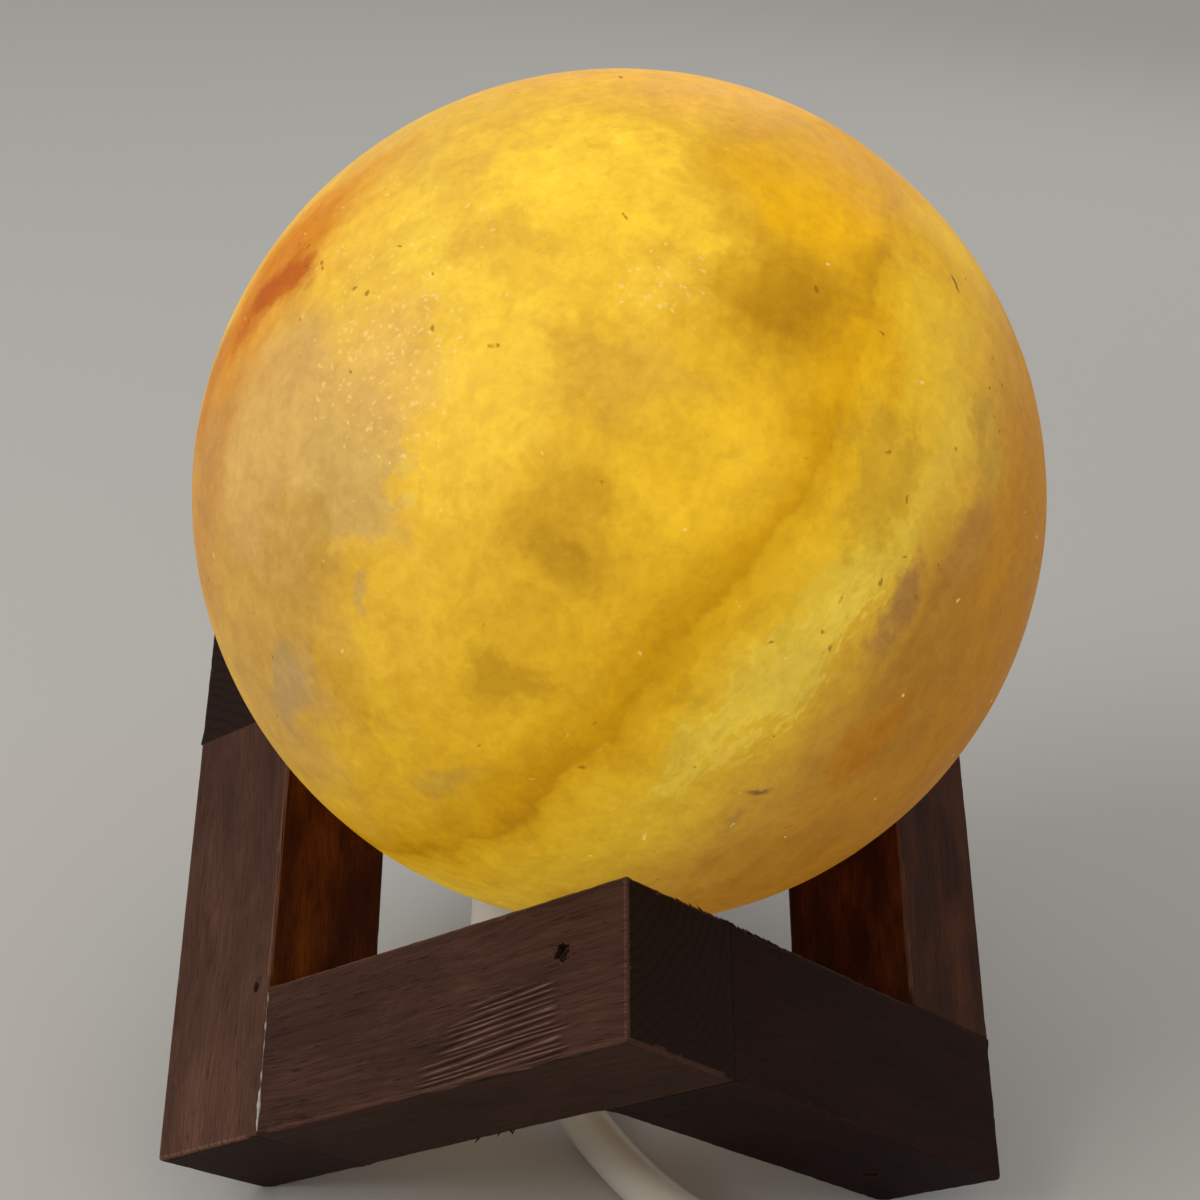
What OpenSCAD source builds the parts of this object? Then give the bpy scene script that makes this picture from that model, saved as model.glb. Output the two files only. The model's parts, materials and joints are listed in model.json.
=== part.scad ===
// Globe salt lamp: a carved ball of rock salt that rests in a stand of six square sticks.
// The sticks follow six edges of a cube that stands on one corner, three corners up, three down.
// A lamp holder hangs in a bore under the ball, and its mains lead lies on the table.
// Millimetres, +Z up, origin on the lamp's axis at table level, viewer on the -Y side.

/* [Stand] */
// Edge of the cube that the six sticks follow
cube_edge = 87.5; // [84:0.5:92]
// Side of the square sticks
stick_w = 21.4; // [19:0.1:23]
// Rounding along the long edges of each stick
stick_ease = 0.9; // [0.3:0.1:2]
// How much of each lowest corner is sanded off for a foot
foot_cut = 1.2; // [0.5:0.1:2.5]
// Shank diameter of the joint nails
nail_d = 1.8; // [1.4:0.1:2.2]
// Head diameter of the joint nails
nail_head_d = 2.6; // [2.3:0.1:3.4]
// Length of the joint nails
nail_l = 36; // [28:1:40]
// Depth of the nail heads below the wood
nail_sink = 1.5; // [0.5:0.1:3]

/* [Salt globe] */
// Diameter of the salt globe
globe_d = 120; // [116:0.5:124]
// Diameter of the bore for the lamp holder
bore_d = 32; // [31.6:0.1:33.4]
// Depth of the bore
bore_l = 84; // [82:1:88]
// Chamfer at the mouth of the bore
bore_chamfer = 0.8; // [0.3:0.1:1]

/* [Lamp holder] */
// Diameter of the cap that closes the bore
cap_d = 35.6; // [35.2:0.1:37]
// Height of the cap
cap_h = 15.8; // [15:0.1:17]
// Wall of the cap
cap_wall = 1.8; // [1.4:0.1:2.2]
// Thickness of the cap's floor
cap_floor = 2; // [1.6:0.1:2.4]
// Depth of the recess under the cap's floor
cap_recess = 3; // [2:0.1:3.5]
// Outer diameter of the sleeve round the bulb's socket
sleeve_d = 27; // [26:0.1:27.4]
// Wall of the sleeve
sleeve_wall = 1.6; // [1.2:0.1:2]
// Height of the sleeve above the cap
sleeve_h = 35; // [30:1:38]
// Thickness of the spring clip's steel
clip_t = 0.6; // [0.4:0.1:0.8]
// Width of the spring clip's fingers
finger_w = 7; // [5:0.5:8]
// Height of the spring clip's fingers
finger_h = 30; // [26:1:33]
// Height of the insulating core under the socket
core_h = 12; // [11:0.5:13]
// Inner diameter of the screw socket
socket_d = 14.6; // [14.4:0.1:15]
// Wall of the screw socket
socket_wall = 0.5; // [0.4:0.05:0.8]
// Height of the screw socket
socket_h = 21; // [19:0.5:23]
// Diameter of the small screws
screw_d = 3; // [2.5:0.1:3.2]

/* [Bulb] */
// Diameter of the bulb's glass
glass_d = 24; // [22:0.5:25]
// Wall of the bulb's glass
glass_wall = 0.6; // [0.5:0.1:0.9]
// Diameter of the bulb's screw cap
bulb_cap_d = 13.9; // [13.7:0.1:14]
// Height of the bulb's screw cap
bulb_cap_h = 17; // [16:0.5:18]
// Whole length of the bulb
bulb_l = 55; // [53:0.5:57]
// Width of the filament's arc
filament_w = 11; // [8:0.5:13]

/* [Cord] */
// Diameter of the mains lead
cord_d = 7; // [6.4:0.1:7.2]
// Radius of the coil where its spiral reverses
coil_inner_r = 29; // [28.5:0.5:32]
// Turns of the whole coil
coil_turns = 5.5; // [3.5:2:7.5]
// Gap between neighbouring turns
coil_gap = 0.6; // [0.5:0.1:0.9]
// Thickness of the tie round the coil
tie_t = 0.6; // [0.4:0.1:0.8]
// Width of the tie
tie_w = 4.5; // [3:0.5:7]

/* [Inline switch] */
// Length of the switch
switch_l = 62; // [58:1:66]
// Width of the switch in its middle
switch_w = 24; // [22:0.5:25]
// Width of the switch at its ends
switch_end_w = 13.5; // [12.5:0.5:15]
// Height of the switch
switch_h = 15; // [14.5:0.5:17]
// Height of the parting line, where the cord goes in
switch_split = 6.5; // [6.5:0.1:7]
// Wall of the switch's shells
switch_wall = 1.8; // [1.5:0.1:2.2]
// Length of the rocker
rocker_l = 16; // [14:0.5:18]
// Width of the rocker
rocker_w = 9; // [8:0.5:10]
// Tilt of the rocker to either side
rocker_tilt = 8; // [6:0.5:10]

/* [Plug] */
// Length of the plug's body
plug_l = 33; // [31:0.5:36]
// Width of the plug's body
plug_w = 26; // [25:0.5:28]
// Thickness of the plug's body
plug_t = 13.6; // [13:0.1:14]
// Diameter of the two pins
pin_d = 4; // [3.9:0.1:4.2]
// Length of the pins
pin_l = 19; // [18:0.5:20]
// Distance between the pins
pin_pitch = 19; // [17.5:0.5:19]
// Length of the insulating sleeve on each pin
pin_sleeve_l = 10; // [8:0.5:11]
// Length of the plug's ribbed strain relief
plug_boot_l = 15; // [12:0.5:20]

/* [Hidden] */
$fn = 96;

// Clearances: still parts that meet round a pin, parts that turn, and parts that lift off
fit = 0.02;
turn_play = 0.05;
lift_play = 0.3;
// A little more than nothing, so that a cut goes right through
over = 1;

// Stand: the frame of the cube, and where the nails go, from the corner that each joint makes
stick_l = cube_edge - stick_w;
tilt = acos(1 / sqrt(3));
stand_y = -cube_edge * sqrt(2 / 3);
stand_z = (cube_edge + stick_w) / sqrt(3) - foot_cut;
third = -120;
upper_nail = [0.49 * stick_w, 0.63 * stick_w];
lower_nail = [0.70 * stick_w, 0.62 * stick_w];
nail_head_t = 1;

// Globe: it touches one flat face at each of the three upper joints
globe_r = globe_d / 2;
globe_z = (4 * stick_w - cube_edge + 3 * (globe_r + lift_play)) / sqrt(3) - foot_cut;
flat_margin = 1.2;
flat_r = cap_d / 2 + flat_margin;
seat_z = globe_z - sqrt(globe_r * globe_r - flat_r * flat_r);
bore_r = bore_d / 2;

// Lamp holder, from the ground flat of the globe down and up
clip_z = seat_z - lift_play - clip_t;
cap_r = cap_d / 2;
cap_z = clip_z - cap_h;
floor_z = cap_z + cap_recess;
chamber_z = floor_z + cap_floor;
rim_r = cap_r - cap_wall;
ledge = 1.3;
sleeve_r = sleeve_d / 2;
sleeve_in_r = sleeve_r - sleeve_wall;
flange_t = 2;
core_drop = 2.8;
core_z = clip_z - core_drop;
core_top = core_z + core_h;
core_r = sleeve_in_r - fit;
socket_r = socket_d / 2;
socket_out_r = socket_r + socket_wall;
socket_lip = 1.4;
socket_ledge = 2;
contact_t = 0.8;
contact_h = 2.8;
contact_r = 3.4;
rivet_d = 2.8;
tongue = [3.2, 6];
screw_at = 10;
screw_spread = 60;
screw_head_r = screw_d * 0.92;
screw_head_t = 1.9;
screw_bite = 7;
terminal = [6, 4.2, 6];
terminal_at = [1.5, 2];
terminal_screw_r = 1.2;
terminal_screw_l = 3;
terminal_head_t = 1.2;
terminal_head_r = terminal_screw_r + 0.8;
wire_cover_r = 1.1;
wire_apart = 1.5;

// Spring clip: a washer inside the cap's rim, and fingers that bow out but stay clear of the bore
clip_inset = 0.4;
finger_x = sleeve_r + lift_play;
finger_top_x = sqrt(pow(bore_r - lift_play, 2) - pow(finger_w / 2, 2));
finger_bow = finger_top_x - finger_x - clip_t;
finger_r = (pow(finger_h / 2, 2) + finger_bow * finger_bow) / (2 * finger_bow);

// Bulb, standing on the socket's centre contact
bulb_z = core_top + contact_h + lift_play;
tip_h = 1;
tip_r = 2.4;
tip_round = 4;
insulator_h = 2.2;
insulator_r = 3.4;
insulator_plug = 1.5;
bulb_cap_z = bulb_z + tip_h + insulator_h;
bulb_cap_r = bulb_cap_d / 2;
bulb_cap_wall = 0.3;
neck_r = bulb_cap_r - bulb_cap_wall - 0.05;
neck_z = bulb_cap_z + bulb_cap_h - 8;
glass_r = glass_d / 2;
glass_z = bulb_z + bulb_l - glass_r;
shoulder = 20;
stem_z = neck_z + glass_wall + fit;
stem_r = 1.8;
stem_button_r = 2.4;
stem_base_t = 1;
stem_flare_h = 6;
stem_top = glass_z - 5;
wire_r = 0.3;

// Cord: where it leaves the cap, and which way it heads on the table
cord_r = cord_d / 2;
cord_heading = -58;
exit_at = [-9.5, 0.5];
exit_r = 4.3;
boot_r = 5.4;
boot_tip_r = 4.4;
boot_turn = 45;
boot_flange_r = 5;
boot_flange_t = 1.4;
boot_steps = 5;
boot_sides = 12;
boot_bend = floor_z - cord_r;

// The lead on its way to the switch, after the boot
lead_route = [
    [-2.1, -11.4, 7.3], [1.5, -17.1, 4.5], [5.3, -23.2, 3.5], [9.0, -29.2, 3.5],
    [12.8, -35.1, 4.2], [16.5, -41.1, 5.8], [20.2, -47.0, 6.5], [23.9, -52.9, 6.5]
];
// From the switch round to the coil
tail_route = [
    [56.8, -105.5, 6.5], [60.5, -111.4, 6.5], [63.6, -117.7, 5.8], [65.2, -124.5, 4.3],
    [65.4, -131.6, 3.5], [64.1, -138.4, 3.5], [61.4, -144.9, 3.5], [57.3, -150.6, 3.5],
    [52.2, -155.4, 3.5], [46.1, -159.0, 3.5], [39.5, -161.2, 3.5], [32.5, -161.9, 3.5],
    [22.0, -161.9, 3.6], [12.0, -161.9, 3.9], [1.5, -161.9, 4.1], [-9.5, -161.9, 4.1]
];
// From the top of the coil over its turns to the plug
end_route = [
    [-9.5, -64.0, 11.7], [-2.2, -64.8, 12.2], [4.7, -67.1, 13.6], [11.0, -70.9, 15.6],
    [16.3, -75.8, 17.5], [20.4, -81.9, 19.0], [23.2, -88.6, 19.5], [24.4, -95.4, 19.8],
    [23.9, -102.3, 20.5], [21.9, -108.9, 21.5], [18.4, -114.9, 22.2], [13.7, -119.9, 22.5],
    [8.3, -124.4, 22.5]
];
cord_sides = 8;

// Coil: two layers that spiral in and out again, round a centre behind the tail's last point
coil_sides = 6;
coil_steps = 24;
coil_pitch = cord_d + coil_gap;
climb = 0.5;
coil_half = coil_turns / 2;
coil_outer_r = coil_inner_r + (coil_half - climb / 4) * coil_pitch;
coil_z = cord_r + tie_t;
tail_end = tail_route[len(tail_route) - 1];
coil_mid = [tail_end[0] - cord_d, tail_end[1] + coil_outer_r];
tie_angle = 160;
tie_r = 2.2;
tie_slack = 0.1;
tie_lock = [3.4, 5];

// Switch: it starts where the lead ends
lead_end = lead_route[len(lead_route) - 1];
lead_last = lead_end - lead_route[len(lead_route) - 2];
switch_heading = atan2(lead_last[1], lead_last[0]);
side_r = (pow(switch_l / 2, 2) + pow((switch_w - switch_end_w) / 2, 2)) / (switch_w - switch_end_w);
crown_r = 26;
rocker_z = 11.2;
rocker_gap = 0.35;
trunnion_r = 1.2;
trunnion_l = 1.2;
rocker_t = 2.6;
rocker_foot = 2.4;
rocker_nose = 0.7;
bearing_l = 6;
bearing_w = trunnion_l + 2;
wire_hole_r = 2.3;
switch_screw_x = 21;
switch_head_t = 1;
switch_head_z = 0.2;
screw_pilot = 5;
strip = [8, 5, 0.8];
strip_at = 9;
strip_h = 3.4;

// Plug: it starts where the cord ends
end_end = end_route[len(end_route) - 1];
end_last = end_end - end_route[len(end_route) - 2];
plug_heading = atan2(end_last[1], end_last[0]);
plug_back_w = 12;
plug_neck = 9;
plug_bevel = 2;
plug_round_r = 16;
waist_r = 16;
waist_depth = 1.2;
waist_at = 0.62;
pin_bed = 8;
pin_core_d = pin_d - 1.2;
pin_head_d = pin_d + 1.4;
pin_head_t = 1.6;
rib_count = 5;
rib_r = cord_r + 1.3;
rib_growth = 0.25;
relief_r = [cord_r + 0.8, 5];

// Directions and points
function heading(a) = [cos(a), sin(a), 0];
function unit(v) = v / norm(v);
function side_of(t) = unit([t[1], -t[0], 0]);

// Direction of a route at point i
function tangent(pts, i) = unit(pts[min(i + 1, len(pts) - 1)] - pts[max(i - 1, 0)]);

// Ring of points round p, square to the direction t, with a corner at the bottom
function ring(p, t, s, r, n) = let (u = cross(s, t))
    [for (k = [0:n - 1]) p + r * (cos(360 * k / n - 90) * s + sin(360 * k / n - 90) * u)];

// Solid swept through rings: points, side directions and radii are lists of one length
module sweep(pts, tans, sides, radii, n) {
    rings = [for (i = [0:len(pts) - 1]) ring(pts[i], tans[i], sides[i], radii[i], n)];
    last = len(pts) - 1;
    walls = [for (i = [0:last - 1], k = [0:n - 1])
        let (a = i * n + k, b = i * n + (k + 1) % n) each [[a, b, b + n], [a, b + n, a + n]]];
    caps = [for (k = [1:n - 2]) each [[0, k + 1, k], [last * n, last * n + k, last * n + k + 1]]];
    polyhedron([for (r = rings) each r], concat(walls, caps), convexity = 6);
}

// Tube along a route, with its first and last directions given where they aren't the route's own
module tube(pts, r, n, first = undef, final = undef) {
    last = len(pts) - 1;
    tans = [for (i = [0:last]) i == 0 && first != undef ? first
        : i == last && final != undef ? final : tangent(pts, i)];
    sweep(pts, tans, [for (t = tans) side_of(t)], [for (p = pts) r], n);
}

// Points on the coil, by turns done: in along the lower layer, up a layer in the half turn
// where the spiral reverses smoothly, and out along the upper one
function from_middle(w) = abs(w - coil_half);
function coil_r(w) = coil_inner_r + coil_pitch * (from_middle(w) < climb / 2
    ? from_middle(w) * from_middle(w) / climb : from_middle(w) - climb / 4);
function climbed(w) = min(1, max(0, (w - coil_half) / climb + 0.5));
function coil_rise(w) = coil_pitch * (1 - cos(180 * climbed(w))) / 2;
function coil_point(w) = let (a = -90 - 360 * w)
    [coil_mid[0] + coil_r(w) * cos(a), coil_mid[1] + coil_r(w) * sin(a), coil_z + coil_rise(w)];

// The coil's line, with a straight diameter at each end
coil_count = round(coil_turns * coil_steps);
coil_line = [for (i = [0:coil_count]) coil_point(i * coil_turns / coil_count)];
coil_out = heading(-180 - 360 * coil_turns);
coil_pts = concat([tail_end], coil_line, [coil_line[coil_count] + cord_d * coil_out]);

// Least gap between turns, on points at least half a turn apart
function seg_gap(i, j) = norm(coil_pts[i] - coil_pts[j]) - cord_d;
coil_gaps = [for (i = [0:len(coil_pts) - 1], j = [i + floor(coil_steps / 2):1:len(coil_pts) - 1])
    seg_gap(i, j)];
echo(least_gap_in_coil_mm = min(coil_gaps));
function route_length(pts) = len(pts) < 2 ? 0
    : norm(pts[1] - pts[0]) + route_length([for (i = [1:len(pts) - 1]) pts[i]]);
echo(cord_length_mm = route_length(concat([boot_end], lead_route)) + route_length(tail_route)
    + route_length(coil_pts) + route_length(end_route));

// The boot's arc: straight down out of the cap's floor, bending towards the cord's heading
function boot_point(a) = [exit_at[0], exit_at[1], floor_z]
    + boot_bend * (1 - cos(a)) * heading(cord_heading) - [0, 0, boot_bend * sin(a)];
function boot_tangent(a) = sin(a) * heading(cord_heading) - [0, 0, cos(a)];
boot_end = boot_point(boot_turn);

// Sticks
module in_cube() {
    translate([0, stand_y, stand_z])
        rotate([-tilt, 0, 0])
            rotate([0, 0, 45])
                children();
}

module above_table() {
    difference() {
        children();
        translate([0, 0, -cube_edge])
            cube(2 * cube_edge, center = true);
    }
}

module stick_outline() {
    inner = stick_w - 2 * stick_ease;
    translate([stick_ease, 0])
        square([inner, stick_w]);
    translate([0, stick_ease])
        square([stick_w, inner]);
    for (x = [stick_ease, stick_w - stick_ease])
        for (y = [stick_ease, stick_w - stick_ease])
            translate([x, y])
                circle(stick_ease);
}

module stick_bar() {
    linear_extrude(stick_l)
        stick_outline();
}

// Rail that shows its end at an upper corner, lying along the cube frame's second axis
module upper_stick() {
    difference() {
        in_cube()
            translate([0, stick_l, 0])
                rotate([90, 0, 0])
                    stick_bar();
        all_nails(fit);
    }
}

// Stick that butts on the one above, lying along the first axis down to a foot
module foot_stick() {
    above_table()
        difference() {
            in_cube()
                translate([stick_w, 0, 0])
                    rotate([0, 90, 0])
                        rotate([0, 0, 90])
                            stick_bar();
            all_nails(fit);
        }
}

// Sunk nail along +Z from the wood's face; play makes it the hole that the nail sits in
module nail(play) {
    hole = play > 0;
    translate([0, 0, nail_sink + nail_head_t - over])
        cylinder(d = nail_d + 2 * play, h = nail_l - nail_head_t + over);
    translate([0, 0, hole ? -over : nail_sink])
        cylinder(d = nail_head_d + 2 * play, h = hole ? nail_sink + nail_head_t + over : nail_head_t);
}

module nail_pair(play) {
    in_cube() {
        translate([0, upper_nail[0], upper_nail[1]])
            rotate([0, 90, 0])
                nail(play);
        translate([cube_edge - lower_nail[0], lower_nail[1], 0])
            nail(play);
    }
}

module all_nails(play) {
    for (k = [0:2])
        rotate([0, 0, k * third])
            nail_pair(play);
}

module front_left_rail() {
    color("#5a3a30")
        upper_stick();
}

module rear_left_rail() {
    color("#53372c")
        rotate([0, 0, third])
            upper_stick();
}

module right_post() {
    color("#4d3126")
        rotate([0, 0, 2 * third])
            upper_stick();
}

module front_right_rail() {
    color("#3c2620")
        foot_stick();
}

module left_post() {
    color("#624636")
        rotate([0, 0, third])
            foot_stick();
}

module rear_right_rail() {
    color("#4a3027")
        rotate([0, 0, 2 * third])
            foot_stick();
}

module joint_nails() {
    color("#2b2724")
        all_nails(0);
}

// Globe
module salt_globe() {
    color("#f0b32a")
        difference() {
            translate([0, 0, globe_z])
                sphere(globe_r);
            translate([0, 0, seat_z - globe_r])
                cylinder(r = globe_r, h = globe_r);
            translate([0, 0, seat_z - over])
                cylinder(r = bore_r, h = bore_l + over);
            translate([0, 0, seat_z - over])
                cylinder(r1 = bore_r + bore_chamfer + over, r2 = bore_r, h = bore_chamfer + over);
        }
}

// Lamp holder
module at_screws() {
    for (side = [-1, 1])
        rotate([0, 0, side * screw_spread])
            translate([screw_at, 0, 0])
                children();
}

module holder_cap() {
    color("#e9e4d8")
        difference() {
            translate([0, 0, cap_z])
                cylinder(r = cap_r, h = cap_h);
            translate([0, 0, cap_z - over])
                cylinder(r = rim_r, h = cap_recess + over);
            translate([0, 0, chamber_z])
                cylinder(r = rim_r - ledge, h = cap_h);
            translate([0, 0, clip_z - flange_t])
                cylinder(r = rim_r, h = flange_t + over);
            translate([exit_at[0], exit_at[1], floor_z - over])
                cylinder(r = exit_r, h = cap_floor + 2 * over);
            at_screws()
                translate([0, 0, floor_z - over])
                    cylinder(r = screw_d / 2 + fit, h = cap_floor + 2 * over);
        }
}

module cap_screws() {
    color("#b9bcbf")
        at_screws() {
            translate([0, 0, floor_z - screw_head_t])
                cylinder(r = screw_head_r, h = screw_head_t);
            translate([0, 0, floor_z - screw_head_t / 2])
                cylinder(d = screw_d, h = core_z + screw_bite - floor_z + screw_head_t / 2);
        }
}

module holder_sleeve() {
    color("#e4ded1")
        difference() {
            union() {
                translate([0, 0, clip_z - flange_t])
                    cylinder(r = rim_r - fit, h = flange_t);
                translate([0, 0, clip_z - flange_t])
                    cylinder(r = sleeve_r, h = flange_t + sleeve_h);
            }
            translate([0, 0, clip_z - flange_t - over])
                cylinder(r = sleeve_in_r, h = flange_t + sleeve_h + 2 * over);
        }
}

// One stamped piece of spring steel: a washer with three bowed fingers
module finger_outline() {
    intersection() {
        translate([finger_x + clip_t + finger_bow - finger_r, finger_h / 2])
            difference() {
                circle(finger_r, $fn = 360);
                circle(finger_r - clip_t, $fn = 360);
            }
        translate([finger_x - clip_t, 0])
            square([4 * clip_t + finger_bow, finger_h]);
    }
}

module spring_clip() {
    color("#c3c6c8")
        translate([0, 0, clip_z]) {
            difference() {
                cylinder(r = cap_r - clip_inset, h = clip_t);
                translate([0, 0, -over])
                    cylinder(r = finger_x, h = clip_t + 2 * over);
            }
            for (k = [0:2])
                rotate([0, 0, 30 + 120 * k])
                    translate([0, finger_w / 2, 0])
                        rotate([90, 0, 0])
                            linear_extrude(finger_w)
                                finger_outline();
        }
}

module holder_core() {
    color("#f1efe8")
        difference() {
            translate([0, 0, core_z])
                cylinder(r = core_r, h = core_h);
            at_screws()
                translate([0, 0, core_z - over])
                    cylinder(r = screw_d / 2 + fit, h = screw_bite + over + fit);
            translate([0, 0, core_z - over])
                cylinder(r = rivet_d / 2 + fit, h = core_h + 2 * over);
        }
}

module screw_socket() {
    color("#c9a24b")
        translate([0, 0, core_top])
            difference() {
                union() {
                    cylinder(r = socket_out_r, h = socket_h);
                    cylinder(r = socket_out_r + socket_lip, h = socket_wall);
                }
                translate([0, 0, socket_wall])
                    cylinder(r = socket_r, h = socket_h);
                translate([0, 0, -over])
                    cylinder(r = socket_r - socket_ledge, h = socket_h);
            }
}

// Rivet with a domed spring tongue on it
module centre_contact() {
    color("#d0aa55")
        union() {
            translate([0, 0, core_z])
                cylinder(d = rivet_d, h = core_h + contact_t);
            translate([0, 0, core_top])
                cylinder(r = contact_r, h = contact_t);
            translate([-tongue[0] / 2, -tongue[1] / 2, core_top])
                cube([tongue[0], tongue[1], contact_h]);
        }
}

module terminal_pair() {
    for (side = [-1, 1])
        translate([terminal_at[0], side < 0 ? -terminal_at[1] - terminal[1] : terminal_at[1],
                core_z - terminal[2]])
            children();
}

// Places at the outer faces of the terminals, pointing out
module at_terminal_screws() {
    terminal_pair()
        translate([terminal[0], terminal[1] / 2, terminal[2] / 2])
            rotate([0, 90, 0])
                children();
}

module terminal_blocks() {
    color("#cfae62")
        difference() {
            terminal_pair()
                cube(terminal);
            at_terminal_screws()
                translate([0, 0, -terminal_screw_l - fit])
                    cylinder(r = terminal_screw_r + fit, h = terminal_screw_l + over);
        }
}

module terminal_screws() {
    color("#b9bcbf")
        at_terminal_screws()
            union() {
                translate([0, 0, -terminal_screw_l])
                    cylinder(r = terminal_screw_r, h = terminal_screw_l + terminal_head_t);
                cylinder(r = terminal_head_r, h = terminal_head_t);
            }
}

// Moulded boot: locked in the cap's floor, then tapering along the first bend of the cord
module cord_boot() {
    color("#e6e1d6")
        union() {
            translate([exit_at[0], exit_at[1], floor_z])
                cylinder(r = exit_r - fit, h = cap_floor + over);
            translate([exit_at[0], exit_at[1], chamber_z])
                cylinder(r = boot_flange_r, h = boot_flange_t);
            boot_tail();
        }
}

module boot_tail() {
    angles = [for (k = [0:boot_steps]) boot_turn * k / boot_steps];
    side = side_of(heading(cord_heading));
    sweep([for (a = angles) boot_point(a)], [for (a = angles) boot_tangent(a)],
        [for (a = angles) side],
        [for (a = angles) boot_r + (boot_tip_r - boot_r) * a / boot_turn], boot_sides);
}

// The cord's two insulated cores: up out of the boot, over, and into the terminals
module lead_cores() {
    core_start = chamber_z + boot_flange_t;
    wire_z = core_z - terminal[2] / 2;
    nearly_up = unit([0.02, 0, 1]);
    color("#7a4a2a")
        for (side = [-1, 1]) {
            far = [terminal_at[0], side * (terminal_at[1] + terminal[1] / 2), wire_z];
            near = [exit_at[0], exit_at[1] + side * wire_apart, core_start];
            rise = near + [0.6, side * 0.3, 0.6 * (wire_z - core_start)];
            middle = [(near[0] + far[0]) / 2 - wire_apart, (near[1] + far[1]) / 2, wire_z];
            tube([near, rise, middle, far - [2, 0, 0], far], wire_cover_r, cord_sides,
                first = nearly_up, final = [1, 0, 0]);
        }
}

// Bulb
module glass_outline(inset) {
    cut_r = glass_r * cos(shoulder);
    cone_top = glass_z - glass_r * sin(shoulder);
    cone_h = (cut_r - neck_r) / tan(shoulder);
    intersection() {
        union() {
            translate([0, glass_z])
                circle(glass_r - inset);
            polygon([
                [0, neck_z + inset], [neck_r - inset, neck_z + inset],
                [neck_r - inset, cone_top - cone_h], [cut_r - inset * cos(shoulder), cone_top],
                [0, cone_top + glass_r / 2]
            ]);
        }
        translate([0, bulb_z])
            square([glass_r + over, bulb_l + over]);
    }
}

module bulb_glass() {
    color("#dfe6ea", 0.5)
        rotate_extrude()
            difference() {
                glass_outline(0);
                glass_outline(glass_wall);
            }
}

module bulb_screw_cap() {
    color("#c8cacb")
        difference() {
            translate([0, 0, bulb_cap_z])
                cylinder(r = bulb_cap_r, h = bulb_cap_h);
            translate([0, 0, bulb_cap_z - over])
                cylinder(r = bulb_cap_r - bulb_cap_wall, h = bulb_cap_h + 2 * over);
        }
}

module bulb_insulator() {
    color("#1d1c1b")
        union() {
            translate([0, 0, bulb_z + tip_h])
                cylinder(r1 = insulator_r, r2 = bulb_cap_r - 2 * bulb_cap_wall, h = insulator_h);
            translate([0, 0, bulb_cap_z])
                cylinder(r = bulb_cap_r - bulb_cap_wall - fit, h = insulator_plug);
        }
}

module bulb_tip() {
    color("#b4b6b8")
        intersection() {
            translate([0, 0, bulb_z])
                cylinder(r = tip_r, h = tip_h);
            translate([0, 0, bulb_z + tip_round])
                sphere(tip_round);
        }
}

// Glass mount that carries the filament, standing in the neck
module bulb_stem() {
    stem_foot = neck_r - glass_wall - fit;
    color("#dfe6ea", 0.6)
        union() {
            translate([0, 0, stem_z])
                cylinder(r = stem_foot, h = stem_base_t);
            translate([0, 0, stem_z + stem_base_t])
                cylinder(r1 = stem_foot - stem_base_t, r2 = stem_r, h = stem_flare_h);
            translate([0, 0, stem_z + stem_flare_h])
                cylinder(r = stem_r, h = stem_top - stem_z - stem_flare_h);
            translate([0, 0, stem_top])
                sphere(stem_button_r);
        }
}

module bulb_supports() {
    reach = filament_w / 2 - stem_button_r - fit;
    color("#8d9093")
        for (side = [-1, 1])
            translate([side * filament_w / 2, 0, stem_top])
                union() {
                    cylinder(r = wire_r, h = glass_z - stem_top - fit);
                    translate([-side * reach, 0, wire_r])
                        rotate([0, side * 90, 0])
                            cylinder(r = wire_r, h = reach);
                }
}

module bulb_filament() {
    color("#f7d27a")
        translate([0, 0, glass_z])
            rotate([90, 0, 0])
                rotate_extrude(angle = 180)
                    translate([filament_w / 2, 0])
                        circle(wire_r, $fn = 16);
}

// Cord
module cord_lead() {
    color("#ece8df")
        tube(concat([boot_end], lead_route), cord_r, cord_sides, first = boot_tangent(boot_turn));
}

module cord_tail() {
    color("#ece8df")
        tube(tail_route, cord_r, cord_sides, final = [-1, 0, 0]);
}

module cord_coil() {
    color("#ece8df")
        tube(coil_pts, cord_r, coil_sides, first = [-1, 0, 0], final = coil_out);
}

module cord_end() {
    color("#ece8df")
        tube(end_route, cord_r, cord_sides, first = coil_out);
}

module slab_outline(w, h, r) {
    translate([r - w / 2, 0])
        square([w - 2 * r, h]);
    translate([-w / 2, r])
        square([w, h - 2 * r]);
    for (x = [r - w / 2, w / 2 - r])
        for (y = [r, h - r])
            translate([x, y])
                circle(r);
}

// Strap tie round all turns, with its lock on the outside
module coil_tie() {
    low_r = coil_inner_r - cord_r - tie_slack;
    high_r = coil_outer_r + cord_r + tie_slack;
    inner_h = coil_pitch + cord_d + 2 * tie_slack;
    inner_w = high_r - low_r;
    color("#3a3a3c")
        translate([coil_mid[0], coil_mid[1], 0])
            rotate([0, 0, tie_angle])
                translate([(low_r + high_r) / 2, tie_w / 2, 0])
                    rotate([90, 0, 0])
                        union() {
                            linear_extrude(tie_w)
                                difference() {
                                    slab_outline(inner_w + 2 * tie_t,
                                        inner_h + 2 * tie_t - tie_slack, tie_r);
                                    translate([0, tie_t - tie_slack])
                                        slab_outline(inner_w, inner_h, tie_r - tie_t);
                                }
                            translate([inner_w / 2, coil_z + (coil_pitch - tie_lock[1]) / 2,
                                    -tie_slack * 5])
                                cube([tie_lock[0], tie_lock[1], tie_w + tie_slack * 10]);
                        }
}

// Inline switch
module at_switch() {
    translate([lead_end[0], lead_end[1], 0])
        rotate([0, 0, switch_heading])
            translate([switch_l / 2, 0, 0])
                children();
}

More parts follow.
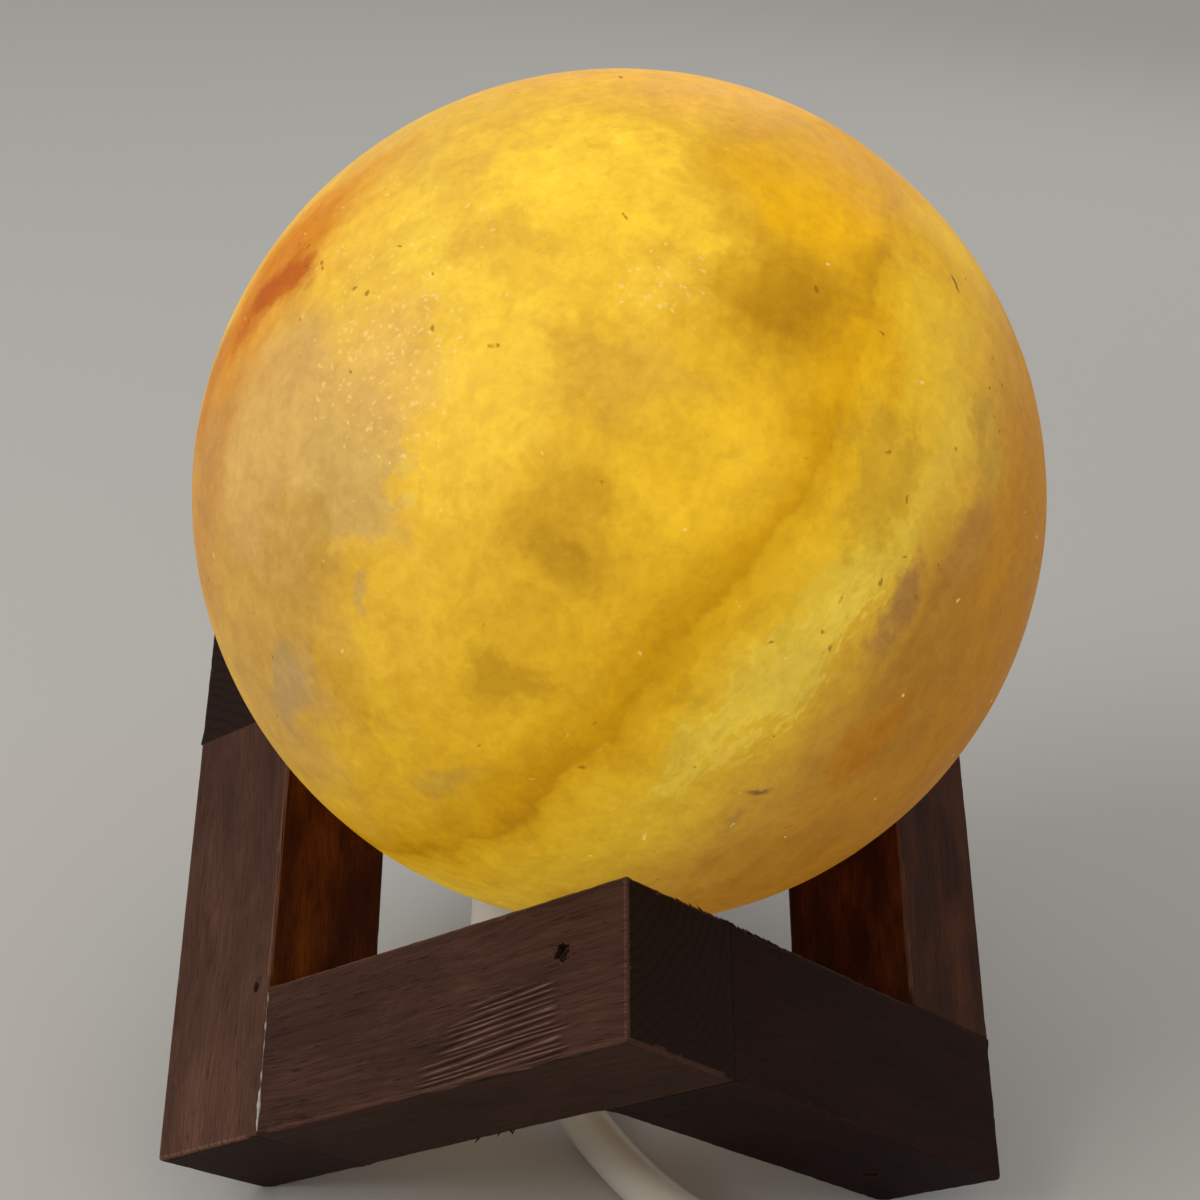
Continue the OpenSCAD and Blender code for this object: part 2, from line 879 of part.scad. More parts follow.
module switch_plan(inset) {
    intersection_for (side = [-1, 1])
        intersection() {
            square([switch_l - 2 * inset, switch_w], center = true);
            translate([0, side * (side_r - switch_w / 2)])
                circle(side_r - inset, $fn = 360);
        }
}

// Holes that the cord's cores pass through, at both ends
module wire_holes() {
    translate([-switch_l / 2 - over, 0, switch_split])
        rotate([0, 90, 0])
            cylinder(r = wire_hole_r, h = switch_l + 2 * over);
}

module switch_base() {
    color("#e9e5dc")
        at_switch()
            difference() {
                linear_extrude(switch_split)
                    switch_plan(0);
                translate([0, 0, switch_wall])
                    linear_extrude(switch_split)
                        switch_plan(switch_wall);
                wire_holes();
                at_switch_screws()
                    translate([0, 0, -over])
                        cylinder(r = screw_d / 2 + fit, h = switch_split + 2 * over);
                at_switch_screws()
                    translate([0, 0, -over])
                        cylinder(r = screw_head_r + fit,
                            h = switch_head_z + switch_head_t + over);
            }
}

module at_switch_screws() {
    for (side = [-1, 1])
        translate([side * switch_screw_x, 0, 0])
            children();
}

module switch_cover() {
    color("#ece8df")
        at_switch()
            difference() {
                intersection() {
                    translate([0, 0, switch_split])
                        linear_extrude(switch_h - switch_split)
                            switch_plan(0);
                    translate([-switch_l, 0, switch_h - crown_r])
                        rotate([0, 90, 0])
                            cylinder(r = crown_r, h = 2 * switch_l);
                }
                difference() {
                    translate([0, 0, switch_split - over])
                        linear_extrude(switch_h - switch_split - switch_wall + over)
                            switch_plan(switch_wall + 1);
                    at_switch_screws()
                        translate([0, 0, switch_split])
                            cylinder(r = screw_d, h = switch_h);
                    rocker_bearings();
                }
                at_switch_screws()
                    translate([0, 0, switch_split - over])
                        cylinder(r = screw_d / 2 + fit, h = screw_pilot + over);
                wire_holes();
                translate([0, 0, switch_h])
                    cube([rocker_l + 2 * rocker_gap, rocker_w + 2 * rocker_gap, 2 * switch_h],
                        center = true);
                translate([0, 0, rocker_z])
                    rotate([90, 0, 0])
                        cylinder(r = trunnion_r + turn_play,
                            h = rocker_w + 2 * (trunnion_l + rocker_gap), center = true);
            }
}

// Blocks inside the cover that hold the rocker's pivot pins
module rocker_bearings() {
    for (side = [-1, 1])
        translate([0, side * (rocker_w / 2 + rocker_gap + bearing_w / 2), switch_h])
            cube([bearing_l, bearing_w, 2 * (switch_h - rocker_z + trunnion_r + 1)],
                center = true);
}

// Rocker with its pivot pins, pressed down at the end nearer the lamp
module rocker_outline() {
    rise = rocker_t + (rocker_l / 2) * tan(rocker_tilt);
    intersection() {
        polygon([
            [-rocker_l / 2 + rocker_nose, -rocker_foot],
            [rocker_l / 2 - rocker_nose, -rocker_foot],
            [rocker_l / 2, rise], [0, rocker_t], [-rocker_l / 2, rise]
        ]);
        circle(rocker_l / 2);
    }
}

module switch_rocker() {
    color("#f2efe8")
        at_switch()
            translate([0, 0, rocker_z])
                rotate([0, -rocker_tilt, 0])
                    rotate([90, 0, 0])
                        union() {
                            translate([0, 0, -rocker_w / 2])
                                linear_extrude(rocker_w)
                                    rocker_outline();
                            cylinder(r = trunnion_r, h = rocker_w + 2 * trunnion_l, center = true);
                        }
}

// Two brass strips on the base that the rocker joins
module switch_contacts() {
    color("#cfae62")
        at_switch()
            for (side = [-1, 1])
                translate([side * strip_at - strip[0] / 2, -strip[1] / 2, switch_wall])
                    union() {
                        cube(strip);
                        translate([side < 0 ? 0 : strip[0] - strip[2], 0, 0])
                            cube([strip[2], strip[1], strip_h]);
                    }
}

module switch_screws() {
    color("#b9bcbf")
        at_switch()
            at_switch_screws()
                union() {
                    translate([0, 0, switch_head_z])
                        cylinder(r = screw_head_r, h = switch_head_t);
                    translate([0, 0, switch_head_z])
                        cylinder(d = screw_d, h = switch_split + screw_pilot - 2 * switch_head_z);
                }
}

// Plug
module at_plug() {
    translate(end_end)
        rotate([0, 0, plug_heading])
            children();
}

// Seen from above: narrow at the cord, swelling to the width of the pins, with a waist to grip
module plug_plan() {
    front = plug_boot_l + plug_l;
    neck = plug_boot_l + plug_neck;
    difference() {
        polygon([
            [plug_boot_l, -plug_back_w / 2], [neck, (plug_bevel - plug_w) / 2],
            [front - plug_bevel, -plug_w / 2], [front, plug_bevel - plug_w / 2],
            [front, plug_w / 2 - plug_bevel], [front - plug_bevel, plug_w / 2],
            [neck, (plug_w - plug_bevel) / 2], [plug_boot_l, plug_back_w / 2]
        ]);
        for (side = [-1, 1])
            translate([plug_boot_l + plug_l * waist_at,
                    side * (plug_w / 2 + waist_r - waist_depth)])
                circle(waist_r);
    }
}

module plug_body() {
    color("#ebe7de")
        at_plug()
            difference() {
                intersection() {
                    translate([0, 0, -plug_t / 2])
                        linear_extrude(plug_t)
                            plug_plan();
                    intersection_for (side = [-1, 1])
                        translate([0, 0, side * (plug_round_r - plug_t / 2)])
                            rotate([0, 90, 0])
                                cylinder(r = plug_round_r, h = plug_boot_l + plug_l);
                }
                for (side = [-1, 1])
                    translate([plug_boot_l + plug_l, side * pin_pitch / 2, 0])
                        rotate([0, 90, 0])
                            pin_root(fit, over);
            }
}

// What of a pin lies inside the plug's body: its core, and a head that keeps it from pulling out
module pin_root(play, past) {
    translate([0, 0, -pin_bed])
        union() {
            cylinder(d = pin_core_d + 2 * play, h = pin_bed + past);
            cylinder(d = pin_head_d + 2 * play, h = pin_head_t + play);
        }
}

// Ribbed strain relief: cones and rings in a row
module plug_boot() {
    rib_step = plug_boot_l / rib_count;
    color("#e6e1d6")
        at_plug()
            rotate([0, 90, 0])
                union() {
                    cylinder(r1 = relief_r[0], r2 = relief_r[1], h = plug_boot_l);
                    for (k = [0:rib_count - 1])
                        translate([0, 0, k * rib_step])
                            cylinder(r = rib_r + rib_growth * k, h = rib_step / 2);
                }
}

module at_pins() {
    at_plug()
        for (side = [-1, 1])
            translate([plug_boot_l + plug_l, side * pin_pitch / 2, 0])
                rotate([0, 90, 0])
                    children();
}

module plug_pins() {
    color("#c9ccce")
        at_pins()
            union() {
                pin_root(0, pin_sleeve_l + over);
                translate([0, 0, pin_sleeve_l])
                    cylinder(d = pin_d, h = pin_l - pin_sleeve_l - pin_d / 2);
                translate([0, 0, pin_l - pin_d / 2])
                    sphere(d = pin_d);
            }
}

module pin_sleeves() {
    color("#232325")
        at_pins()
            difference() {
                cylinder(d = pin_d, h = pin_sleeve_l - fit);
                translate([0, 0, -over])
                    cylinder(d = pin_core_d + 2 * fit, h = pin_sleeve_l + 2 * over);
            }
}

front_left_rail();
left_post();
rear_left_rail();
rear_right_rail();
right_post();
front_right_rail();
joint_nails();
salt_globe();
holder_cap();
cap_screws();
spring_clip();
holder_sleeve();
holder_core();
screw_socket();
centre_contact();
terminal_blocks();
terminal_screws();
cord_boot();
lead_cores();
bulb_glass();
bulb_screw_cap();
bulb_insulator();
bulb_tip();
bulb_stem();
bulb_supports();
bulb_filament();
cord_lead();
cord_tail();
cord_coil();
coil_tie();
cord_end();
switch_base();
switch_cover();
switch_rocker();
switch_contacts();
switch_screws();
plug_body();
plug_boot();
plug_pins();
pin_sleeves();
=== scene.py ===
import json
import math
from itertools import product

import bmesh
import bpy
from bpy.props import FloatProperty, FloatVectorProperty, IntProperty, PointerProperty
from mathutils import Euler, Matrix, Vector, noise


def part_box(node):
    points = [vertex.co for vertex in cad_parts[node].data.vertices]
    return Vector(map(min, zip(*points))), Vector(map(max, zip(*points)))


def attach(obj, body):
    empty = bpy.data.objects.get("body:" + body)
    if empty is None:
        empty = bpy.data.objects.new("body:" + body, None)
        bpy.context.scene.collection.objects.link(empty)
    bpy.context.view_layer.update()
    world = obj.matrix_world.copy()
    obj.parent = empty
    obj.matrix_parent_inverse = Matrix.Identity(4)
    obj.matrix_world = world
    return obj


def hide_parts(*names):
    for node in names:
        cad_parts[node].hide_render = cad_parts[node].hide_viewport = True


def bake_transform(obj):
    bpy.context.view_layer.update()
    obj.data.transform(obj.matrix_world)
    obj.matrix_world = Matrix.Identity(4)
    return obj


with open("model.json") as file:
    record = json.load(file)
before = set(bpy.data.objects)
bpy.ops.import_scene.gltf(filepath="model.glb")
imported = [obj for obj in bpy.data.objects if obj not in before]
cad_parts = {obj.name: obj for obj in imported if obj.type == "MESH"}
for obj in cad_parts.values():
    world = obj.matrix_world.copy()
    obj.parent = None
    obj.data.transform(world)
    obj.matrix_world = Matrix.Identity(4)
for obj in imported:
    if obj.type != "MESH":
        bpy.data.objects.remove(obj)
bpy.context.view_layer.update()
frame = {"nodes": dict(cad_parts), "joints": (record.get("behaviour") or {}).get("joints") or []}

bl_info = {
    "name": "Salt lamp",
    "version": (1, 0, 0),
    "blender": (4, 5, 0),
    "location": "3D View > Sidebar > Salt lamp",
    "description": "Glowing rock-salt globe in a stand of stained sticks, with its holder, bulb and lead",
    "category": "Add Mesh",
}

MM = 0.001


def colour(code):
    """An sRGB hex value as the linear colour that a node takes."""
    parts = [int(code[i:i + 2], 16) / 255 for i in (0, 2, 4)]
    return (*[c / 12.92 if c <= 0.04045 else ((c + 0.055) / 1.055) ** 2.4 for c in parts], 1.0)


def size(name, description, default):
    return FloatProperty(name=name, description=description, default=default, unit="LENGTH", precision=4)


def tint(name, description, code):
    return FloatVectorProperty(name=name, description=description, default=colour(code), size=4,
                               subtype="COLOR", min=0, max=1)


# Sizes and colours


GLOBE_LOW, GLOBE_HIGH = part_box("salt_globe")


class StandLook(bpy.types.PropertyGroup):
    stick_w: size("Stick width", "Width of the square sticks", 21.4 * MM)
    cube_edge: size("Cube edge", "Edge of the cube whose edges the sticks follow", 87.5 * MM)
    foot_cut: size("Foot cut", "How much is sanded off the three feet", 1.2 * MM)
    ease: size("Eased edge", "Radius of the rubbed edges", 0.9 * MM)
    wear: size("Edge wear", "How much more an edge is rounded where it is rubbed or chipped", 0.9 * MM)
    stain_dark: tint("Dark stain", "Stain where the late wood and the pores drink most", "2e1b13")
    stain_mid: tint("Stain", "Stain on the early wood", "54382b")
    stain_light: tint("Worn stain", "Stain rubbed thin on edges and fibres", "785545")
    # Painted light: the globe's orange glow on the faces towards it
    painted_globe_glow: tint("Painted globe glow", "Orange glow of the globe, painted on the faces towards it", "431d09")
    glue: tint("Glue", "Squeezed-out glue, dried white", "b9b2a8")


class GlobeLook(bpy.types.PropertyGroup):
    diameter: size("Diameter", "Diameter of the globe", GLOBE_HIGH.x - GLOBE_LOW.x)
    facet: size("Facets", "How far the hand-rubbed facets cut in", 0.45 * MM)
    pit: size("Pits", "Depth of the pits and nicks", 0.35 * MM)
    glow: FloatProperty(name="Glow", description="Strength of the light that comes through the salt",
                        default=0.93, min=0, max=4)
    seed: IntProperty(name="Seed", description="Another seed gives other facets and pits", default=5, min=0)


class HolderLook(bpy.types.PropertyGroup):
    ease: size("Eased edge", "Radius on the edges of the moulded and stamped pieces", 0.25 * MM)
    thread_depth: size("Thread depth", "Depth of the rolled thread on the socket and the bulb", 0.42 * MM)
    thread_pitch: size("Thread pitch", "Rise of the bulb's thread in one turn", 2.82 * MM)


class CordLook(bpy.types.PropertyGroup):
    diameter: size("Diameter", "Diameter of the round two-core lead", 7 * MM)
    coil_inner: size("Inner radius", "Radius of the inner turns of the coil", 29 * MM)
    coil_gap: size("Gap", "Gap between the turns of the coil", 0.6 * MM)
    coil_turns: FloatProperty(name="Turns", description="Turns of the coil, in two layers", default=5.5,
                              min=1)
    sheath: tint("Sheath", "White sheath of the lead", "dfd8c9")


class StageLook(bpy.types.PropertyGroup):
    floor: tint("Floor", "Plain pale floor", "bfbcb6")
    backdrop: tint("Backdrop", "Pale surroundings that the camera sees", "c4c3c0")
    sky: FloatProperty(name="Fill", description="Strength of the even light from all round",
                       default=0.52, min=0)
    key: FloatProperty(name="Key", description="Power of the soft lamp above at the left",
                       default=5.6, min=0, unit="POWER")


# Nodes and materials


def add(tree, kind, inputs=None, stops=None, **settings):
    """Adds one node: settings by name, inputs as values or as other nodes' outputs, stops on a ramp."""
    made = tree.nodes.new(kind)
    for name, value in settings.items():
        setattr(made, name, value)
    if stops:
        ramp = made.color_ramp.elements
        while len(ramp) < len(stops):
            ramp.new(0.5)
        for element, (place, value) in zip(ramp, sorted(stops, key=lambda stop: stop[0])):
            element.position = place
            element.color = value
    for key, value in (inputs or {}).items():
        socket = made.inputs[key]
        if isinstance(value, bpy.types.NodeSocket):
            tree.links.new(value, socket)
        else:
            socket.default_value = value
    return made.outputs


def blank(name, **values):
    """A new material and its node tree, with constants set on its Principled shader's sockets."""
    made = bpy.data.materials.new(name)
    made.use_nodes = True
    shader = made.node_tree.nodes["Principled BSDF"]
    for key, value in values.items():
        shader.inputs[key.replace("_", " ")].default_value = value
    return made, made.node_tree


def finished(made, **outputs):
    """The material, with these outputs of its nodes linked to its Principled shader's sockets."""
    shader = made.node_tree.nodes["Principled BSDF"]
    for key, output in outputs.items():
        made.node_tree.links.new(output, shader.inputs[key.replace("_", " ")])
    return made


MADE = {}


def finish_of(maker):
    """The material that this function makes, made once."""
    if maker not in MADE:
        MADE[maker] = maker()
    return MADE[maker]


def grey(value):
    return (value, value, value, 1.0)


def walnut_stained_pine():
    """Sawn pine under dark walnut stain: late wood and pores take more stain, the end grain most of all,
    and rubbed edges and torn fibres show lighter. Satin where the stain has built up. The globe's orange glow
    is painted on the faces towards it, and painted shade darkens the sticks away from the key lamp."""
    look = bpy.context.scene.lamp_stand
    made, tree = blank("walnut_stained_pine", IOR=1.5, Specular_IOR_Level=0.08)
    # The attribute holds millimetres: x along the stick, y and z from the heart of the tree
    grain = add(tree, "ShaderNodeAttribute", attribute_name="grain")["Vector"]
    end, edge, torn, deep, inner = (add(tree, "ShaderNodeAttribute", attribute_name=name)["Fac"]
                                    for name in ("end", "edge", "torn", "deep", "inner"))
    soft = add(tree, "ShaderNodeMapping", {"Vector": grain, "Scale": (0.018, 0.05, 0.05)})[0]
    sway = add(tree, "ShaderNodeTexNoise", {"Vector": soft, "Scale": 1.0, "Detail": 3.0})["Color"]
    sway = add(tree, "ShaderNodeVectorMath", {0: sway, 1: (0.5, 0.5, 0.5)}, operation="SUBTRACT")[0]
    sway = add(tree, "ShaderNodeVectorMath", {0: sway, 1: (0, 9, 9)}, operation="MULTIPLY")[0]
    bent = add(tree, "ShaderNodeVectorMath", {0: grain, 1: sway}, operation="ADD")[0]
    flat = add(tree, "ShaderNodeVectorMath", {0: bent, 1: (0, 1, 1)}, operation="MULTIPLY")[0]
    away = add(tree, "ShaderNodeVectorMath", {0: flat}, operation="LENGTH")["Value"]
    # Rings 1.5 mm apart, each darkening slowly to its late wood and ending sharply
    ring = add(tree, "ShaderNodeMath", {0: away, 1: 1.5}, operation="DIVIDE")[0]
    ring = add(tree, "ShaderNodeMath", {0: ring}, operation="FRACT")[0]
    ring = add(tree, "ShaderNodeValToRGB", {0: ring}, stops=[
        (0.0, grey(0.5)), (0.12, grey(0.80)), (0.55, grey(0.70)), (0.86, grey(0.25)), (0.95, grey(0.15)),
        (1.0, grey(0.5))])[0]
    # Fibres 0.2 mm wide and about 15 mm long, and pores that show as dashes 4 mm long
    strands = add(tree, "ShaderNodeMapping", {"Vector": bent, "Scale": (0.06, 4.6, 4.6)})[0]
    fibre = add(tree, "ShaderNodeTexNoise", {"Vector": strands, "Scale": 1.0, "Detail": 5.0,
                                             "Roughness": 0.6})["Fac"]
    dashes = add(tree, "ShaderNodeMapping", {"Vector": grain, "Scale": (0.24, 3.6, 3.6)})[0]
    pore = add(tree, "ShaderNodeTexNoise", {"Vector": dashes, "Scale": 1.0, "Detail": 1.0})["Fac"]
    pore = add(tree, "ShaderNodeMapRange", {"Value": pore, "From Min": 0.64, "From Max": 0.74,
                                            "To Max": 0.55}, interpolation_type="SMOOTHSTEP")[0]
    blots = add(tree, "ShaderNodeMapping", {"Vector": grain, "Scale": (0.05, 0.13, 0.13)})[0]
    blot = add(tree, "ShaderNodeTexNoise", {"Vector": blots, "Scale": 1.0, "Detail": 4.0,
                                            "Roughness": 0.6})["Fac"]
    tone = add(tree, "ShaderNodeMath", {0: ring, 1: 0.14}, operation="MULTIPLY")[0]
    tone = add(tree, "ShaderNodeMath", {0: fibre, 1: 0.80, 2: tone}, operation="MULTIPLY_ADD")[0]
    tone = add(tree, "ShaderNodeMath", {0: blot, 1: 0.55, 2: tone}, operation="MULTIPLY_ADD")[0]
    tone = add(tree, "ShaderNodeMapRange", {"Value": tone, "From Min": 0.40, "From Max": 1.20})[0]
    skin = add(tree, "ShaderNodeValToRGB", {0: tone}, stops=[
        (0.0, tuple(look.stain_dark)), (0.5, tuple(look.stain_mid)), (1.0, tuple(look.stain_light))])[0]
    # Painted light: the globe's orange glow is painted on the faces towards it and on part of the right
    # post's outer faces
    painted_glow = add(tree, "ShaderNodeMath", {0: blot, 1: 1.1, 2: -0.25}, operation="MULTIPLY_ADD")[0]
    painted_glow = add(tree, "ShaderNodeMath", {0: fibre, 1: 0.35, 2: painted_glow}, operation="MULTIPLY_ADD")[0]
    painted_glow = add(tree, "ShaderNodeValToRGB", {0: painted_glow}, stops=[
        (0.15, colour("2a1006")), (0.45, tuple(look.painted_globe_glow)), (0.8, colour("7c4213"))])[0]
    skin = add(tree, "ShaderNodeMix", {0: inner, 6: skin, 7: painted_glow}, data_type="RGBA")[2]
    skin = add(tree, "ShaderNodeMix", {0: pore, 6: skin, 7: colour("120a08")}, data_type="RGBA")[2]
    # Torn patch that a coarse saw left: fine dark cracks 0.8 mm apart between raised strands
    saw = add(tree, "ShaderNodeMapping", {"Vector": grain, "Scale": (0.03, 0.8, 0.8)})[0]
    saw = add(tree, "ShaderNodeTexNoise", {"Vector": saw, "Scale": 1.0, "Detail": 1.5,
                                           "Roughness": 0.4})["Fac"]
    across = add(tree, "ShaderNodeSeparateXYZ", {0: grain})
    crack = add(tree, "ShaderNodeMath", {0: across[0], 1: 0.05, 2: across[2]}, operation="MULTIPLY_ADD")[0]
    crack = add(tree, "ShaderNodeMath", {0: saw, 1: 1.3, 2: crack}, operation="MULTIPLY_ADD")[0]
    crack = add(tree, "ShaderNodeMath", {0: crack, 1: 0.40}, operation="PINGPONG")[0]
    crack = add(tree, "ShaderNodeMath", {0: fibre, 1: 0.35, 2: crack}, operation="MULTIPLY_ADD")[0]
    strand = add(tree, "ShaderNodeValToRGB", {0: crack}, stops=[
        (0.14, colour("120906")), (0.22, colour("2a1a12")), (0.30, colour("4a3025")),
        (0.44, colour("5a3d31")), (0.53, colour("7c5a49")), (0.60, colour("a48474"))])[0]
    torn = add(tree, "ShaderNodeMath", {0: fibre, 1: 0.9, 2: torn}, operation="MULTIPLY_ADD")[0]
    torn = add(tree, "ShaderNodeMapRange", {"Value": torn, "From Min": 0.65, "From Max": 1.25})[0]
    skin = add(tree, "ShaderNodeMix", {0: torn, 6: skin, 7: strand}, data_type="RGBA")[2]
    dark_end = add(tree, "ShaderNodeMath", {0: fibre, 1: 0.9, 2: -0.15}, operation="MULTIPLY_ADD")[0]
    dark_end = add(tree, "ShaderNodeMath", {0: ring, 1: 0.55, 2: dark_end}, operation="MULTIPLY_ADD")[0]
    dark_end = add(tree, "ShaderNodeMix", {0: dark_end, 6: colour("140a06"), 7: colour("3a251a")},
                   data_type="RGBA")[2]
    skin = add(tree, "ShaderNodeMix", {0: end, 6: skin, 7: dark_end}, data_type="RGBA")[2]
    rub = add(tree, "ShaderNodeMath", {0: edge, 1: fibre}, operation="MULTIPLY")[0]
    rub = add(tree, "ShaderNodeMapRange", {"Value": rub, "From Min": 0.34, "From Max": 0.60,
                                           "To Max": 0.9})[0]
    skin = add(tree, "ShaderNodeMix", {0: rub, 6: skin, 7: tuple(look.stain_light)}, data_type="RGBA")[2]
    # Painted shade and darker stain together: the sticks turned away from the key lamp, and the splinters,
    # are drawn darker
    stain_and_shade_colour = add(tree, "ShaderNodeVectorMath", {0: skin, 1: (0.14, 0.045, 0.05)}, operation="MULTIPLY")[0]
    skin = add(tree, "ShaderNodeMix", {0: deep, 6: skin, 7: stain_and_shade_colour}, data_type="RGBA")[2]
    sheen = add(tree, "ShaderNodeMapRange", {"Value": fibre, "To Min": 0.5, "To Max": 0.8})[0]
    height = add(tree, "ShaderNodeMath", {0: pore, 1: -0.7, 2: fibre}, operation="MULTIPLY_ADD")[0]
    height = add(tree, "ShaderNodeMath", {0: ring, 1: 0.25, 2: height}, operation="MULTIPLY_ADD")[0]
    rough = add(tree, "ShaderNodeMath", {0: crack, 1: torn}, operation="MULTIPLY")[0]
    height = add(tree, "ShaderNodeMath", {0: rough, 1: 1.5, 2: height}, operation="MULTIPLY_ADD")[0]
    bump = add(tree, "ShaderNodeBump", {"Strength": 0.7, "Distance": 0.2 * MM, "Height": height})[0]
    return finished(made, Base_Color=skin, Roughness=sheen, Normal=bump)


def dried_glue():
    """White wood glue squeezed out of a joint: a dull, slightly yellowed bead."""
    look = bpy.context.scene.lamp_stand
    made, tree = blank("dried_glue", Roughness=0.55, IOR=1.48)
    place = add(tree, "ShaderNodeTexCoord")["Object"]
    spots = add(tree, "ShaderNodeTexNoise", {"Vector": place, "Scale": 900.0, "Detail": 3.0})["Fac"]
    skin = add(tree, "ShaderNodeMix", {0: spots, 6: colour("7d6f62"), 7: tuple(look.glue)},
               data_type="RGBA")[2]
    return finished(made, Base_Color=skin)


def black_steel():
    """Wire nail blackened by the stain: dark, dull steel with traces of rust."""
    made, tree = blank("black_steel", Metallic=1.0, Roughness=0.5)
    place = add(tree, "ShaderNodeTexCoord")["Object"]
    spots = add(tree, "ShaderNodeTexNoise", {"Vector": place, "Scale": 1400.0, "Detail": 3.0})["Fac"]
    skin = add(tree, "ShaderNodeValToRGB", {0: spots}, stops=[
        (0.35, colour("2a2826")), (0.6, colour("4a4541")), (0.72, colour("5d3f2c"))])[0]
    return finished(made, Base_Color=skin)


# The salt's layers lie in parallel planes: this is their direction, and how far from the globe's
# centre the dark vein lies, in radii
LAYER_NORMAL = Vector((0.810, 0.112, -0.576)).normalized()
VEIN_AT = -0.099
